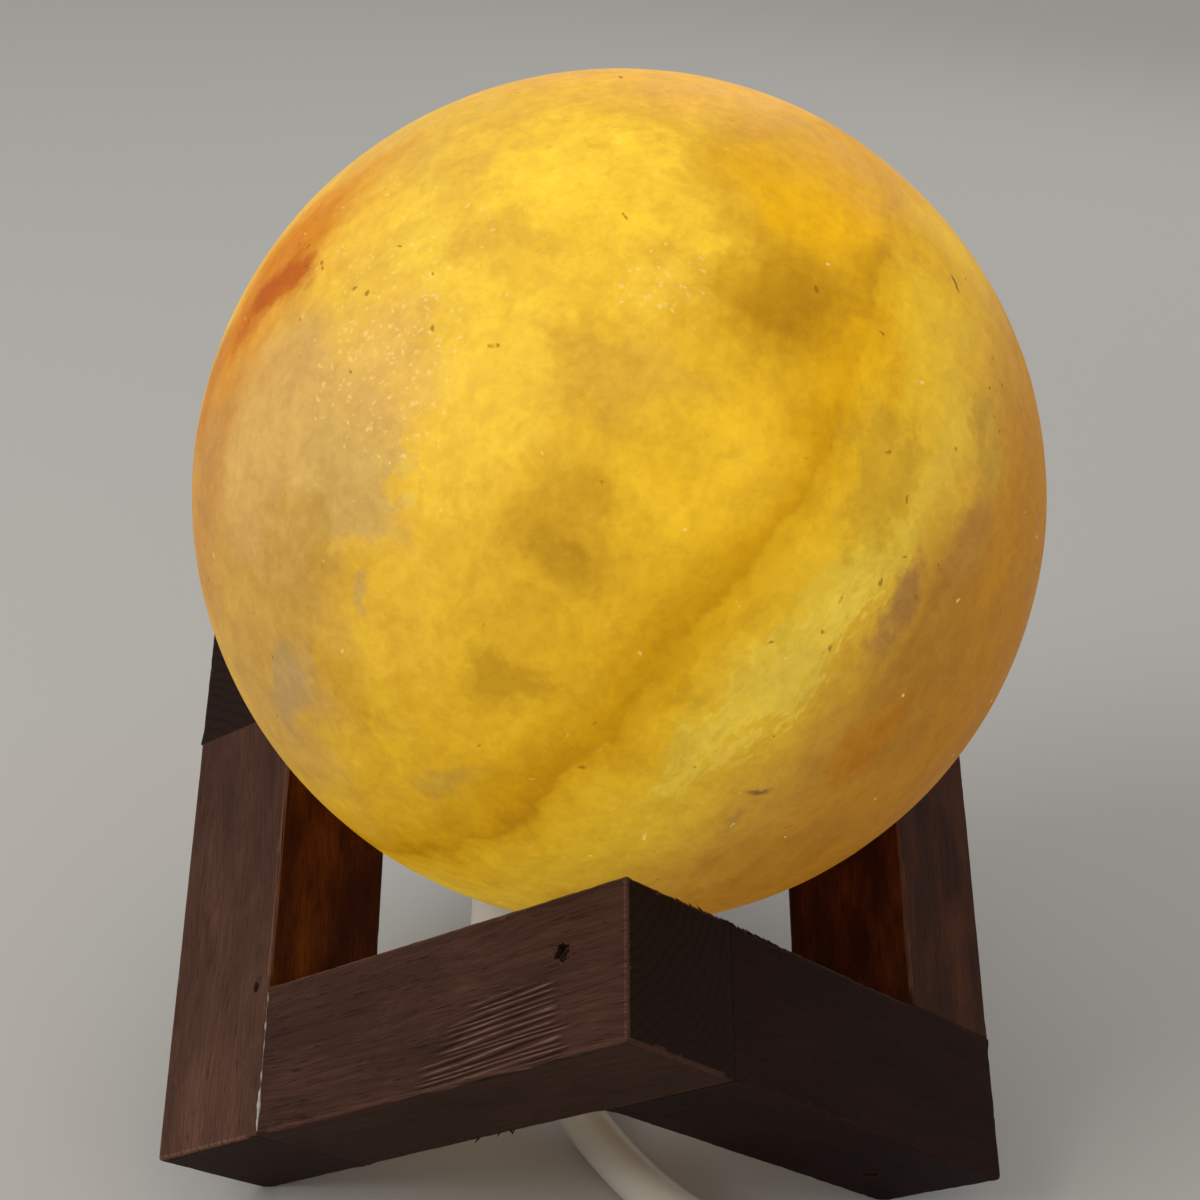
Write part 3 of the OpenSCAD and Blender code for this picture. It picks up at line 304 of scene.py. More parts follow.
# Clouds, crystals and stains on the globe, and painted reflections and rim shade on its outside: longitude
# and latitude in degrees, half sizes across and up in
# # radii, tilt in degrees, colour, how much of it, how soft its edge is, and how its edge breaks up
PATCHES = {
    "tan flank": (-146, 0, 0.34, 0.50, 0, "c0924a", 0.75, 0.8, "cloud"),
    # Painted reflection of the room's light on the left of the globe, and its edge
    "painted reflection on the left": (-144, 18, 0.30, 0.26, 0, "d3a65a", 0.9, 0.6, "cloud"),
    "edge of the painted reflection": (-130, 20, 0.13, 0.16, 10, "cda658", 0.85, 0.2, "ragged"),
    "pale upper left": (-140, 45, 0.26, 0.18, 0, "f4c840", 0.85, 0.8, "cloud"),
    # Painted shade along the left rim
    "painted rim shade left": (-166, 6, 0.20, 0.42, 0, "bf8540", 0.75, 0.9, "cloud"),
    "rust halo": (-166, 38, 0.20, 0.28, 0, "e39c2c", 0.75, 1.2, "cloud"),
    "rust stain": (-167, 37, 0.15, 0.24, 0, "d07a0a", 0.85, 1.0, "cloud"),
    "rust core": (-161, 34, 0.06, 0.13, 32, "b04c0e", 0.8, 1.2, "ragged"),
    "rust tail": (-173, 17, 0.09, 0.17, 0, "c07424", 0.7, 1.0, "cloud"),
    "bright crystal": (-107, 60, 0.25, 0.22, 8, "ffd038", 0.65, 1.1, "ragged"),
    "crystal edge": (-117, 59, 0.09, 0.17, 15, "ffd23e", 0.55, 0.25, "ragged"),
    "bright crystal low": (-103, 47, 0.20, 0.11, 0, "f4c438", 0.6, 1.0, "ragged"),
    "golden crystal": (-52, 59, 0.18, 0.16, 0, "e8ac08", 0.9, 0.9, "cloud"),
    "amber ring": (-75, 57, 0.06, 0.14, -10, "cf9a22", 0.5, 0.9, "cloud"),
    "amber cloud": (-70, 45, 0.17, 0.14, -15, "b98412", 0.8, 1.0, "cloud"),
    "amber heart": (-69, 43, 0.10, 0.07, 0, "ab780f", 0.55, 0.9, "cloud"),
    # Painted reflections along the top and the right rim
    "painted reflection on the crown": (60, 82, 0.50, 0.30, 0, "f0b04c", 0.6, 0.9, "cloud"),
    "painted rim reflection right": (-10, 62, 0.16, 0.34, -50, "d09418", 0.6, 0.9, "cloud"),
    "dull cloud": (-97, 37, 0.20, 0.08, 15, "cf9f34", 0.6, 0.6, "ragged"),
    "dull cloud left": (-121, 51, 0.12, 0.07, 0, "d6a43a", 0.5, 0.7, "ragged"),
    "dull cloud low": (-92, 31, 0.18, 0.05, 10, "cd9c2e", 0.55, 0.7, "ragged"),
    "bright middle": (-84, 27, 0.16, 0.16, 20, "edbb28", 0.6, 0.8, "cloud"),
    "bright left": (-114, 30, 0.14, 0.20, 0, "f4c63c", 0.7, 0.6, "ragged"),
    "glinting field": (-130, 31, 0.14, 0.11, 0, "deac54", 0.55, 1.1, "ragged"),
    "glinting field high": (-137, 40, 0.16, 0.06, 20, "dba444", 0.35, 0.8, "ragged"),
    "bright low left": (-120, 6, 0.12, 0.14, 0, "e6b434", 0.7, 0.5, "ragged"),
    "amber spot": (-101, 18, 0.13, 0.11, 0, "c2901c", 0.5, 1.2, "ragged"),
    "amber spot heart": (-101, 15, 0.06, 0.05, 0, "b2821c", 0.6, 0.9, "cloud"),
    "amber spot low": (-105, 0, 0.09, 0.05, 10, "b98a1e", 0.55, 0.8, "ragged"),
    "tan patch": (-136, 6, 0.15, 0.14, 0, "bd9038", 0.6, 0.7, "ragged"),
    "amber low left": (-128, -8, 0.06, 0.10, -30, "c8941c", 0.55, 0.8, "ragged"),
    "grey patch left": (-137, -10, 0.05, 0.13, 15, "b4925e", 0.7, 0.9, "ragged"),
    "grey flecks": (-124, 6, 0.025, 0.04, 0, "bd9a5c", 0.6, 0.8, "ragged"),
    "grey patch low": (-113, -17, 0.09, 0.025, -25, "b28e3e", 0.45, 1.2, "ragged"),
    "pale band": (-69, 9, 0.065, 0.44, 46, "dabb40", 0.65, 1.0, "layered"),
    "pale flakes": (-75, 1, 0.05, 0.26, 46, "e0bf46", 0.6, 0.3, "flaky"),
    "pale band right": (-48, 23, 0.07, 0.22, 42, "cba233", 0.25, 1.2, "layered"),
    "pale flakes right": (-56, 19, 0.035, 0.18, 44, "d2ad3a", 0.35, 0.5, "flaky"),
    "golden layer": (-60, 36, 0.11, 0.15, 30, "dca410", 0.6, 0.9, "layered"),
    "golden rim right": (-30, 47, 0.11, 0.13, -20, "cc9612", 0.55, 0.9, "cloud"),
    "shade along the vein": (-85, 3, 0.05, 0.14, 46, "c4920f", 0.5, 0.8, "layered"),
    "olive patch": (-62, 23, 0.08, 0.14, 25, "bb9024", 0.75, 0.9, "ragged"),
    "olive patch right": (-40, 24, 0.055, 0.12, 30, "b08830", 0.8, 0.8, "ragged"),
    "mauve streak": (-59, 9, 0.035, 0.09, 30, "94683a", 0.8, 1.0, "ragged"),
    "mauve streak right": (-48, 12, 0.06, 0.13, 30, "9f7232", 0.75, 1.0, "ragged"),
    "brown flank": (-54, 0, 0.14, 0.20, 40, "9c6c24", 0.6, 0.9, "cloud"),
    "red glow": (-61, -9, 0.13, 0.05, -50, "a8660f", 0.6, 1.1, "cloud"),
    "dark nick right": (-30.2, 43.1, 0.009, 0.024, 15, "5a3c1e", 0.85, 0.9, "ragged"),
    "violet nick": (-74.2, -12.8, 0.020, 0.010, 10, "6e4238", 0.75, 1.2, "ragged"),
    "back dusk": (150, 20, 0.30, 0.24, 20, "c48c34", 0.7, 0.8, "cloud"),
    "back crystal": (112, 48, 0.28, 0.20, -10, "f8c83c", 0.75, 0.7, "ragged"),
    "back cloud": (88, 22, 0.22, 0.12, -25, "bb8420", 0.7, 0.8, "ragged"),
    "back pale band": (40, 8, 0.07, 0.40, -38, "dcbc44", 0.7, 0.8, "layered"),
    "back flakes": (46, 2, 0.05, 0.24, -38, "e0bf46", 0.6, 0.3, "flaky"),
    "back rust": (20, 30, 0.09, 0.20, -20, "b8641c", 0.75, 1.1, "cloud"),
    "back amber": (130, -8, 0.26, 0.14, 10, "ba801c", 0.65, 0.8, "ragged"),
    "back grey": (172, -14, 0.16, 0.10, 0, "b8965c", 0.7, 0.7, "ragged"),
    "violet smear": (-76.7, -18.0, 0.045, 0.012, -55, "93703a", 0.6, 1.3, "ragged"),
}
# Fields on the rubbed surface where open crystal faces glint, drawn as painted highlights, and where small
# dark pits lie close: longitude,
# # latitude, half sizes across and up, tilt, and the share of the crystals that show it
PAINTED_GLINTS = {
    "left field": (-129, 33, 0.16, 0.15, 0, 0.62),
    "back field": (120, 35, 0.12, 0.12, 0, 0.45),
    "upper field": (-139, 43, 0.24, 0.20, 0, 0.22),
    "middle field": (-92, 48, 0.09, 0.08, 0, 0.45),
}
PITS = {
    "right edge": (-33, 27, 0.10, 0.16, 20, 0.45),
    "along the flakes": (-68, 8, 0.06, 0.40, 46, 0.22),
    "mauve streak": (-58, 11, 0.05, 0.09, 30, 0.5),
    "upper field": (-138, 40, 0.24, 0.18, 0, 0.2),
    "lower left": (-138, -8, 0.12, 0.20, 0, 0.2),
    "foot": (-80, -32, 0.16, 0.04, 0, 0.4),
    "olive patch": (-60, 28, 0.05, 0.06, 0, 0.35),
}


def on_globe(tree, ball, lon, lat, wide, high, tilt):
    """How far a point is from a patch's centre, in half sizes of the patch."""
    turn = (Matrix.Rotation(math.radians(tilt), 3, "X") @ Matrix.Rotation(math.radians(lat), 3, "Y")
            @ Matrix.Rotation(math.radians(-lon), 3, "Z")).to_euler("XYZ")
    local = add(tree, "ShaderNodeMapping", {"Vector": ball, "Rotation": tuple(turn),
                                            "Location": (-1, 0, 0)})[0]
    local = add(tree, "ShaderNodeVectorMath", {0: local, 1: (0.9, 1 / wide, 1 / high)},
                operation="MULTIPLY")[0]
    return add(tree, "ShaderNodeVectorMath", {0: local}, operation="LENGTH")["Value"]


def field(tree, ball, fields, least):
    """A share that is least outside the fields and rises to each field's own at its heart."""
    share = least
    for lon, lat, wide, high, tilt, most in fields.values():
        off = on_globe(tree, ball, lon, lat, wide, high, tilt)
        rise = add(tree, "ShaderNodeMapRange", {"Value": off, "From Min": 1.4, "From Max": 0.1,
                                                "To Max": most})[0]
        share = add(tree, "ShaderNodeMath", {0: share, 1: rise}, operation="MAXIMUM")[0]
    return share


def carved_rock_salt():
    """Rock salt lit from inside: a cloudy crystal mass whose layers, veins and stains let through more
    or less of the light, rubbed smooth by hand, with a soft gloss. Its tiny sparkling faces are painted
    highlights, and reflections and rim shade are painted on its outside."""
    look = bpy.context.scene.lamp_globe
    made, tree = blank("carved_rock_salt", IOR=1.544, Specular_IOR_Level=0.05,
                       Emission_Strength=look.glow)
    radius = look.diameter / 2
    middle = Vector((0, 0, GLOBE_HIGH.z - radius))
    place = add(tree, "ShaderNodeTexCoord")["Object"]
    ball = add(tree, "ShaderNodeMapping", {"Vector": place, "Location": tuple(-middle / radius),
                                           "Scale": (1 / radius,) * 3})[0]
    swirl = add(tree, "ShaderNodeTexNoise", {"Vector": ball, "Scale": 3.4, "Detail": 5.0,
                                             "Roughness": 0.6})["Color"]
    swirl = add(tree, "ShaderNodeVectorMath", {0: swirl, 1: (0.5, 0.5, 0.5)}, operation="SUBTRACT")[0]
    swirl = add(tree, "ShaderNodeVectorMath", {0: swirl, "Scale": 0.22}, operation="SCALE")[0]
    warped = add(tree, "ShaderNodeVectorMath", {0: ball, 1: swirl}, operation="ADD")[0]
    depth = add(tree, "ShaderNodeVectorMath", {0: warped, 1: tuple(LAYER_NORMAL)},
                operation="DOT_PRODUCT")["Value"]
    layer = add(tree, "ShaderNodeMapRange", {"Value": depth, "From Min": VEIN_AT - 1,
                                             "From Max": VEIN_AT + 1})[0]
    glow = add(tree, "ShaderNodeValToRGB", {0: layer}, stops=[
        (0.08, colour("e2b348")), (0.20, colour("e8b634")), (0.30, colour("dfad2c")),
        (0.38, colour("deac24")), (0.43, colour("dba720")), (0.463, colour("d09b16")),
        (0.488, colour("c8920f")), (0.499, colour("c08a0e")), (0.506, colour("d09c16")),
        (0.53, colour("dba920")), (0.58, colour("dbb02c")), (0.65, colour("c99a2e")),
        (0.70, colour("b5832c")), (0.76, colour("ab7622")), (0.84, colour("a6701d")),
        (0.90, colour("a26b1b"))])[0]
    # Thin sheets along the layers: coordinates that run 3.6 times as fast along their normal
    sheets = add(tree, "ShaderNodeVectorMath", {0: tuple(LAYER_NORMAL), "Scale": depth}, operation="SCALE")[0]
    sheets = add(tree, "ShaderNodeVectorMath", {0: sheets, 1: (2.6, 2.6, 2.6), 2: ball},
                 operation="MULTIPLY_ADD")[0]
    sheet = add(tree, "ShaderNodeTexNoise", {"Vector": sheets, "Scale": 6.0, "Detail": 5.0,
                                             "Roughness": 0.6})["Fac"]
    # How a patch's edge breaks up: softly over 10 mm, raggedly over 5 mm, in sheets, or in 2 mm flakes
    flakes = add(tree, "ShaderNodeTexVoronoi", {"Vector": sheets, "Scale": 34.0})["Color"]
    breaks = {
        "cloud": (add(tree, "ShaderNodeTexNoise", {"Vector": ball, "Scale": 6.0, "Detail": 3.0})["Fac"], 1.1),
        "ragged": (add(tree, "ShaderNodeTexNoise", {"Vector": ball, "Scale": 11.0, "Detail": 6.0,
                                                    "Roughness": 0.68})["Fac"], 2.6),
        "layered": (sheet, 2.6),
        "flaky": (add(tree, "ShaderNodeSeparateColor", {0: flakes})[0], 1.3),
    }
    for lon, lat, wide, high, tilt, code, much, soft, edge in PATCHES.values():
        off = on_globe(tree, warped, lon, lat, wide, high, tilt)
        broken, reach = breaks[edge]
        off = add(tree, "ShaderNodeMath", {0: broken, 1: reach, 2: off}, operation="MULTIPLY_ADD")[0]
        cover = add(tree, "ShaderNodeMapRange", {"Value": off, "From Min": 1 + (reach + soft) / 2,
                                                 "From Max": 1 + (reach - soft) / 2, "To Max": much},
                    interpolation_type="SMOOTHSTEP")[0]
        glow = add(tree, "ShaderNodeMix", {0: cover, 6: glow, 7: colour(code)}, data_type="RGBA")[2]
    # Crystals of 8 mm with broken edges, sheets, cells and grains of 3 mm, and specks of 1.4 mm. What
    # lets less light through also turns it redder
    mottle = add(tree, "ShaderNodeTexNoise", {"Vector": warped, "Scale": 8.0, "Detail": 6.0,
                                              "Roughness": 0.62})["Fac"]
    mottle = add(tree, "ShaderNodeMapRange", {"Value": mottle, "From Min": 0.38, "From Max": 0.60,
                                              "To Min": 0.95, "To Max": 1.03},
                 interpolation_type="SMOOTHSTEP")[0]
    banded = add(tree, "ShaderNodeMapRange", {"Value": sheet, "From Min": 0.3, "From Max": 0.7,
                                              "To Min": 0.94, "To Max": 1.05})[0]
    cells = add(tree, "ShaderNodeTexVoronoi", {"Vector": warped, "Scale": 24.0})["Color"]
    cell = add(tree, "ShaderNodeSeparateColor", {0: cells})[0]
    cell = add(tree, "ShaderNodeMapRange", {"Value": cell, "To Min": 0.975, "To Max": 1.02})[0]
    grains = add(tree, "ShaderNodeTexNoise", {"Vector": ball, "Scale": 21.0, "Detail": 5.0,
                                              "Roughness": 0.65})["Fac"]
    grains = add(tree, "ShaderNodeMapRange", {"Value": grains, "From Min": 0.42, "From Max": 0.54,
                                              "To Min": 0.978, "To Max": 1.012},
                 interpolation_type="SMOOTHSTEP")[0]
    fine = add(tree, "ShaderNodeTexNoise", {"Vector": ball, "Scale": 42.0, "Detail": 5.0,
                                            "Roughness": 0.7})["Fac"]
    speck = add(tree, "ShaderNodeMapRange", {"Value": fine, "From Min": 0.3, "From Max": 0.7,
                                             "To Min": 0.96, "To Max": 1.035})[0]
    # The bulb's light reaches the lower part less
    up = add(tree, "ShaderNodeSeparateXYZ", {0: ball})[2]
    shade = add(tree, "ShaderNodeMapRange", {"Value": up, "From Min": -0.6, "From Max": 0.45,
                                             "To Min": 0.73, "To Max": 1.0})[0]
    level = mottle
    for more in (banded, cell, grains, speck):
        level = add(tree, "ShaderNodeMath", {0: level, 1: more}, operation="MULTIPLY")[0]
    redder = add(tree, "ShaderNodeMath", {0: level, 1: 0.35}, operation="POWER")[0]
    redder = add(tree, "ShaderNodeCombineXYZ", {0: 1.0, 1: redder, 2: redder})[0]
    level = add(tree, "ShaderNodeMath", {0: level, 1: shade}, operation="MULTIPLY")[0]
    glow = add(tree, "ShaderNodeVectorMath", {0: glow, "Scale": level}, operation="SCALE")[0]
    glow = add(tree, "ShaderNodeVectorMath", {0: glow, 1: redder}, operation="MULTIPLY")[0]
    # Dark pits of about 0.7 mm
    dots = add(tree, "ShaderNodeTexVoronoi", {"Vector": warped, "Scale": 30.0})
    pit = add(tree, "ShaderNodeMapRange", {"Value": dots["Distance"], "From Min": 0.24,
                                           "From Max": 0.12})[0]
    rare = add(tree, "ShaderNodeSeparateColor", {0: dots["Color"]})[1]
    rare = add(tree, "ShaderNodeMath", {0: rare, 1: field(tree, ball, PITS, 0.02)}, operation="LESS_THAN")[0]
    pit = add(tree, "ShaderNodeMath", {0: pit, 1: rare}, operation="MULTIPLY")[0]
    pit = add(tree, "ShaderNodeMath", {0: pit, 1: 0.7}, operation="MULTIPLY")[0]
    glow = add(tree, "ShaderNodeMix", {0: pit, 6: glow, 7: colour("8a5210")}, data_type="RGBA")[2]
    # Painted highlights: glints of open crystal faces of about half a millimetre, over a faint painted sheen
    # in their fields
    smeared = add(tree, "ShaderNodeTexNoise", {"Vector": ball, "Scale": 30.0, "Detail": 2.0})["Color"]
    smeared = add(tree, "ShaderNodeVectorMath", {0: smeared, 1: (0.04, 0.04, 0.04), 2: ball},
                  operation="MULTIPLY_ADD")[0]
    facets = add(tree, "ShaderNodeTexVoronoi", {"Vector": smeared, "Scale": 74.0})
    chance = add(tree, "ShaderNodeSeparateColor", {0: facets["Color"]})[2]
    many = field(tree, warped, PAINTED_GLINTS, 0.002)
    lucky = add(tree, "ShaderNodeMath", {0: chance, 1: many}, operation="LESS_THAN")[0]
    painted_glint = add(tree, "ShaderNodeMapRange", {"Value": facets["Distance"], "From Min": 0.48,
                                             "From Max": 0.08, "To Max": 0.55})[0]
    painted_glint = add(tree, "ShaderNodeMath", {0: painted_glint, 1: lucky}, operation="MULTIPLY")[0]
    painted_glint = add(tree, "ShaderNodeMath", {0: many, 1: 0.12, 2: painted_glint}, operation="MULTIPLY_ADD")[0]
    glow = add(tree, "ShaderNodeMix", {0: painted_glint, 6: glow, 7: colour("fbdc86")}, data_type="RGBA")[2]
    body = add(tree, "ShaderNodeVectorMath", {0: glow, "Scale": 0.15}, operation="SCALE")[0]
    gloss = add(tree, "ShaderNodeMapRange", {"Value": mottle, "From Min": 0.95, "From Max": 1.03,
                                             "To Min": 0.42, "To Max": 0.55})[0]
    height = add(tree, "ShaderNodeMath", {0: pit, 1: -1.5, 2: fine}, operation="MULTIPLY_ADD")[0]
    bump = add(tree, "ShaderNodeBump", {"Strength": 0.5, "Distance": 0.12 * MM, "Height": height})[0]
    return finished(made, Emission_Color=glow, Base_Color=body, Roughness=gloss, Normal=bump)


def soft_sheath():
    """White flexible PVC, extruded: smooth, slightly warm, with a soft broad shine."""
    look = bpy.context.scene.lamp_cord
    made, tree = blank("soft_sheath", Roughness=0.38, IOR=1.52)
    place = add(tree, "ShaderNodeTexCoord")["Object"]
    spots = add(tree, "ShaderNodeTexNoise", {"Vector": place, "Scale": 60.0, "Detail": 4.0})["Fac"]
    skin = add(tree, "ShaderNodeMix", {0: spots, 6: colour("d0c7b5"), 7: tuple(look.sheath)},
               data_type="RGBA")[2]
    fine = add(tree, "ShaderNodeTexNoise", {"Vector": place, "Scale": 1500.0, "Detail": 2.0})["Fac"]
    bump = add(tree, "ShaderNodeBump", {"Strength": 0.25, "Distance": 0.04 * MM, "Height": fine})[0]
    return finished(made, Base_Color=skin, Normal=bump)


def moulded(name, code, shade, roughness, grit=0.03):
    """A moulded plastic: faint cloudiness in its colour, and the fine grain of the mould in its skin."""
    made, tree = blank(name, Roughness=roughness, IOR=1.5)
    place = add(tree, "ShaderNodeTexCoord")["Object"]
    spots = add(tree, "ShaderNodeTexNoise", {"Vector": place, "Scale": 70.0, "Detail": 4.0})["Fac"]
    skin = add(tree, "ShaderNodeMix", {0: spots, 6: colour(shade), 7: colour(code)}, data_type="RGBA")[2]
    fine = add(tree, "ShaderNodeTexNoise", {"Vector": place, "Scale": 2200.0, "Detail": 2.0})["Fac"]
    bump = add(tree, "ShaderNodeBump", {"Strength": 0.3, "Distance": grit * MM, "Height": fine})[0]
    return finished(made, Base_Color=skin, Normal=bump)


def moulded_polyester():
    """Heat-proof polyester of the lamp holder: off-white, semi-gloss, with a fine moulded skin."""
    return moulded("moulded_polyester", "e6e1d4", "dcd5c4", 0.34)


def moulded_urea():
    """Urea resin of the switch: hard, white and glossy."""
    return moulded("moulded_urea", "e9e5da", "e0dacb", 0.24)


def moulded_rocker():
    """Acrylic-like rocker: a little whiter and glossier than its housing."""
    return moulded("moulded_rocker", "f0ede4", "e9e4d8", 0.18, grit=0.01)


def rubbery_boot():
    """Soft PVC of the strain reliefs and the plug: warm white with a dull shine."""
    return moulded("rubbery_boot", "e2dccd", "d6cebc", 0.45, grit=0.05)


def nylon_strap():
    """Nylon of the cable tie: charcoal, slightly waxy."""
    return moulded("nylon_strap", "2f2f31", "262628", 0.4)


def pin_sleeve_nylon():
    """Nylon sleeves on the plug's pins: black and dull."""
    return moulded("pin_sleeve_nylon", "1f1f21", "17171a", 0.5)


def brown_core():
    """Insulation of the live core: brown PVC."""
    return moulded("brown_core", "6d3f22", "5c331b", 0.4)


def blue_core():
    """Insulation of the neutral core: blue PVC."""
    return moulded("blue_core", "2f5f9e", "274f86", 0.4)


def metal(name, code, shade, roughness, spread=0.12, scratch=900.0):
    """A metal with uneven tone and roughness, as handled or plated metal has."""
    made, tree = blank(name, Metallic=1.0)
    place = add(tree, "ShaderNodeTexCoord")["Object"]
    cloud = add(tree, "ShaderNodeTexNoise", {"Vector": place, "Scale": 180.0, "Detail": 5.0,
                                             "Roughness": 0.65})["Fac"]
    cloud = add(tree, "ShaderNodeMapRange", {"Value": cloud, "From Min": 0.35, "From Max": 0.65})[0]
    skin = add(tree, "ShaderNodeMix", {0: cloud, 6: colour(shade), 7: colour(code)}, data_type="RGBA")[2]
    rough = add(tree, "ShaderNodeMapRange", {"Value": cloud, "To Min": roughness + spread,
                                             "To Max": roughness})[0]
    fine = add(tree, "ShaderNodeTexNoise", {"Vector": place, "Scale": scratch, "Detail": 3.0})["Fac"]
    bump = add(tree, "ShaderNodeBump", {"Strength": 0.2, "Distance": 0.02 * MM, "Height": fine})[0]
    return finished(made, Base_Color=skin, Roughness=rough, Normal=bump)


def zinc_plate():
    """Zinc-plated steel of the screws: pale grey, slightly cloudy."""
    return metal("zinc_plate", "c9cccd", "9fa3a5", 0.28)


def spring_steel_strip():
    """Stamped strip of spring steel: cool grey with a rolled shine."""
    return metal("spring_steel_strip", "c4c8ca", "a3a8ab", 0.22)


def rolled_brass():
    """Rolled and stamped brass: yellow, with duller, browner patches."""
    return metal("rolled_brass", "dcb768", "b38b42", 0.22)


def nickel_plate():
    """Bright nickel on the bulb's cap and the plug's pins: a warm, near-mirror grey."""
    return metal("nickel_plate", "cfcbc3", "b3afa6", 0.14, spread=0.1)


def solder_bead():
    """Solder at the bulb's tip: soft grey, wrinkled where it set."""
    return metal("solder_bead", "b9babb", "8d8f91", 0.35, scratch=2500.0)


def nickel_wire():
    """Drawn wire that holds the filament: dull grey."""
    return metal("nickel_wire", "a9a8a4", "86857f", 0.35)


def glazed_steatite():
    """Steatite core of the holder: pressed ceramic, white with a thin glaze and faint specks."""
    made, tree = blank("glazed_steatite", Roughness=0.3, IOR=1.55)
    place = add(tree, "ShaderNodeTexCoord")["Object"]
    specks = add(tree, "ShaderNodeTexNoise", {"Vector": place, "Scale": 1100.0, "Detail": 2.0})["Fac"]
    skin = add(tree, "ShaderNodeValToRGB", {0: specks}, stops=[
        (0.3, colour("c9c3b4")), (0.42, colour("ece9df")), (1.0, colour("f1eee6"))])[0]
    return finished(made, Base_Color=skin)


def fused_black_glass():
    """Black glass that insulates the bulb's cap from its tip: glossy, with tiny seeds."""
    made, tree = blank("fused_black_glass", Roughness=0.12, IOR=1.52)
    place = add(tree, "ShaderNodeTexCoord")["Object"]
    seeds = add(tree, "ShaderNodeTexNoise", {"Vector": place, "Scale": 1600.0, "Detail": 2.0})["Fac"]
    skin = add(tree, "ShaderNodeMix", {0: seeds, 6: colour("0d0d0e"), 7: colour("242326")},
               data_type="RGBA")[2]
    return finished(made, Base_Color=skin)


def blown_glass():
    """Clear blown soda glass: thin, smooth, with a faint waviness from blowing."""
    made, tree = blank("blown_glass", Base_Color=colour("f4f6f2"), Roughness=0.02, IOR=1.5,
                       Transmission_Weight=1.0)
    place = add(tree, "ShaderNodeTexCoord")["Object"]
    wave = add(tree, "ShaderNodeTexNoise", {"Vector": place, "Scale": 90.0, "Detail": 1.0})["Fac"]
    bump = add(tree, "ShaderNodeBump", {"Strength": 0.15, "Distance": 0.1 * MM, "Height": wave})[0]
    return finished(made, Normal=bump)


def glowing_tungsten():
    """Coiled tungsten at full heat: yellow-white, a little darker where it is held."""
    made, tree = blank("glowing_tungsten", Roughness=0.4, Emission_Strength=6.0)
    place = add(tree, "ShaderNodeTexCoord")["Object"]
    across = add(tree, "ShaderNodeSeparateXYZ", {0: place})[2]
    heat = add(tree, "ShaderNodeMapRange", {"Value": across, "From Min": 99.6 * MM,
                                            "From Max": 101.5 * MM})[0]
    glow = add(tree, "ShaderNodeMix", {0: heat, 6: colour("ff9a3c"), 7: colour("ffdf9e")},
               data_type="RGBA")[2]
    return finished(made, Emission_Color=glow, Base_Color=glow)


# Meshes


# Edges sharper than this, in degrees, are eased on the moulded and stamped pieces
EASE_OVER = 28


def placed(name, data):
    """A new object in the scene, at the origin, that carries this mesh, lamp or camera."""
    made = bpy.data.objects.new(name, data)
    bpy.context.scene.collection.objects.link(made)
    return made


def piece(name, points, faces, maker, smooth=True):
    """An object at the origin from points in metres, with its material."""
    mesh = bpy.data.meshes.new(name)
    mesh.from_pydata([tuple(p) for p in points], [], faces)
    mesh.materials.append(finish_of(maker))
    if smooth:
        mesh.shade_smooth()
    return placed(name, mesh)


def outward(made):
    """Merges doubles and turns the faces outwards."""
    shape = bmesh.new()
    shape.from_mesh(made.data)
    bmesh.ops.remove_doubles(shape, verts=shape.verts, dist=1e-7)
    bmesh.ops.recalc_face_normals(shape, faces=shape.faces)
    shape.to_mesh(made.data)
    shape.free()
    return made


def smoothed(made, angle):
    """Smooth shading that keeps edges sharper than the angle, in degrees, crisp."""
    made.data.shade_smooth()
    made.data.set_sharp_from_angle(angle=math.radians(angle))
    return made


def applied(made):
    """The same object with its modifiers turned into plain mesh."""
    bpy.context.view_layer.update()
    graph = bpy.context.evaluated_depsgraph_get()
    mesh = bpy.data.meshes.new_from_object(made.evaluated_get(graph), preserve_all_data_layers=True,
                                           depsgraph=graph)
    mesh.name = made.name
    made.modifiers.clear()
    made.data = mesh
    return made


def geometry_tree(name, inputs):
    """A new geometry-node tree and its given inputs: a shape, these by name and kind, and a material."""
    tree = bpy.data.node_groups.new(name, "GeometryNodeTree")
    tree.interface.new_socket("Geometry", in_out="OUTPUT", socket_type="NodeSocketGeometry")
    for label, kind in {"Geometry": "Geometry", **inputs, "Material": "Material"}.items():
        tree.interface.new_socket(label, in_out="INPUT", socket_type="NodeSocket" + kind)
    return tree, add(tree, "NodeGroupInput")


def closed_tree(tree, given, shape):
    """The tree, once it makes the shape's instances real, coats it and sends it out."""
    real = add(tree, "GeometryNodeRealizeInstances", {0: shape})[0]
    coated = add(tree, "GeometryNodeSetMaterial", {"Geometry": real, "Material": given["Material"]})[0]
    add(tree, "NodeGroupOutput", {0: coated})
    return tree


def shaped(made, tree, values):
    """The piece as the tree makes it, with the tree's inputs set from values by name."""
    nodes = made.modifiers.new(tree.name, "NODES")
    nodes.node_group = tree
    for item in tree.interface.items_tree:
        if item.in_out == "INPUT" and item.name in values:
            nodes[item.identifier] = values[item.name]
    return applied(made)


def cut_out(made, cutter):
    """The piece less the cutter, a bmesh that this uses up."""
    mesh = bpy.data.meshes.new("cutter")
    cutter.to_mesh(mesh)
    cutter.free()
    tool = placed("cutter", mesh)
    cut = made.modifiers.new("cut", "BOOLEAN")
    cut.object = tool
    cut.operation = "DIFFERENCE"
    cut.solver = "EXACT"
    applied(made)
    bpy.data.objects.remove(tool)
    bpy.data.meshes.remove(mesh)
    return made


def round_z(r, angle, height):
    """The point at this radius and angle round Z."""
    return Vector((r * math.cos(angle), r * math.sin(angle), height))


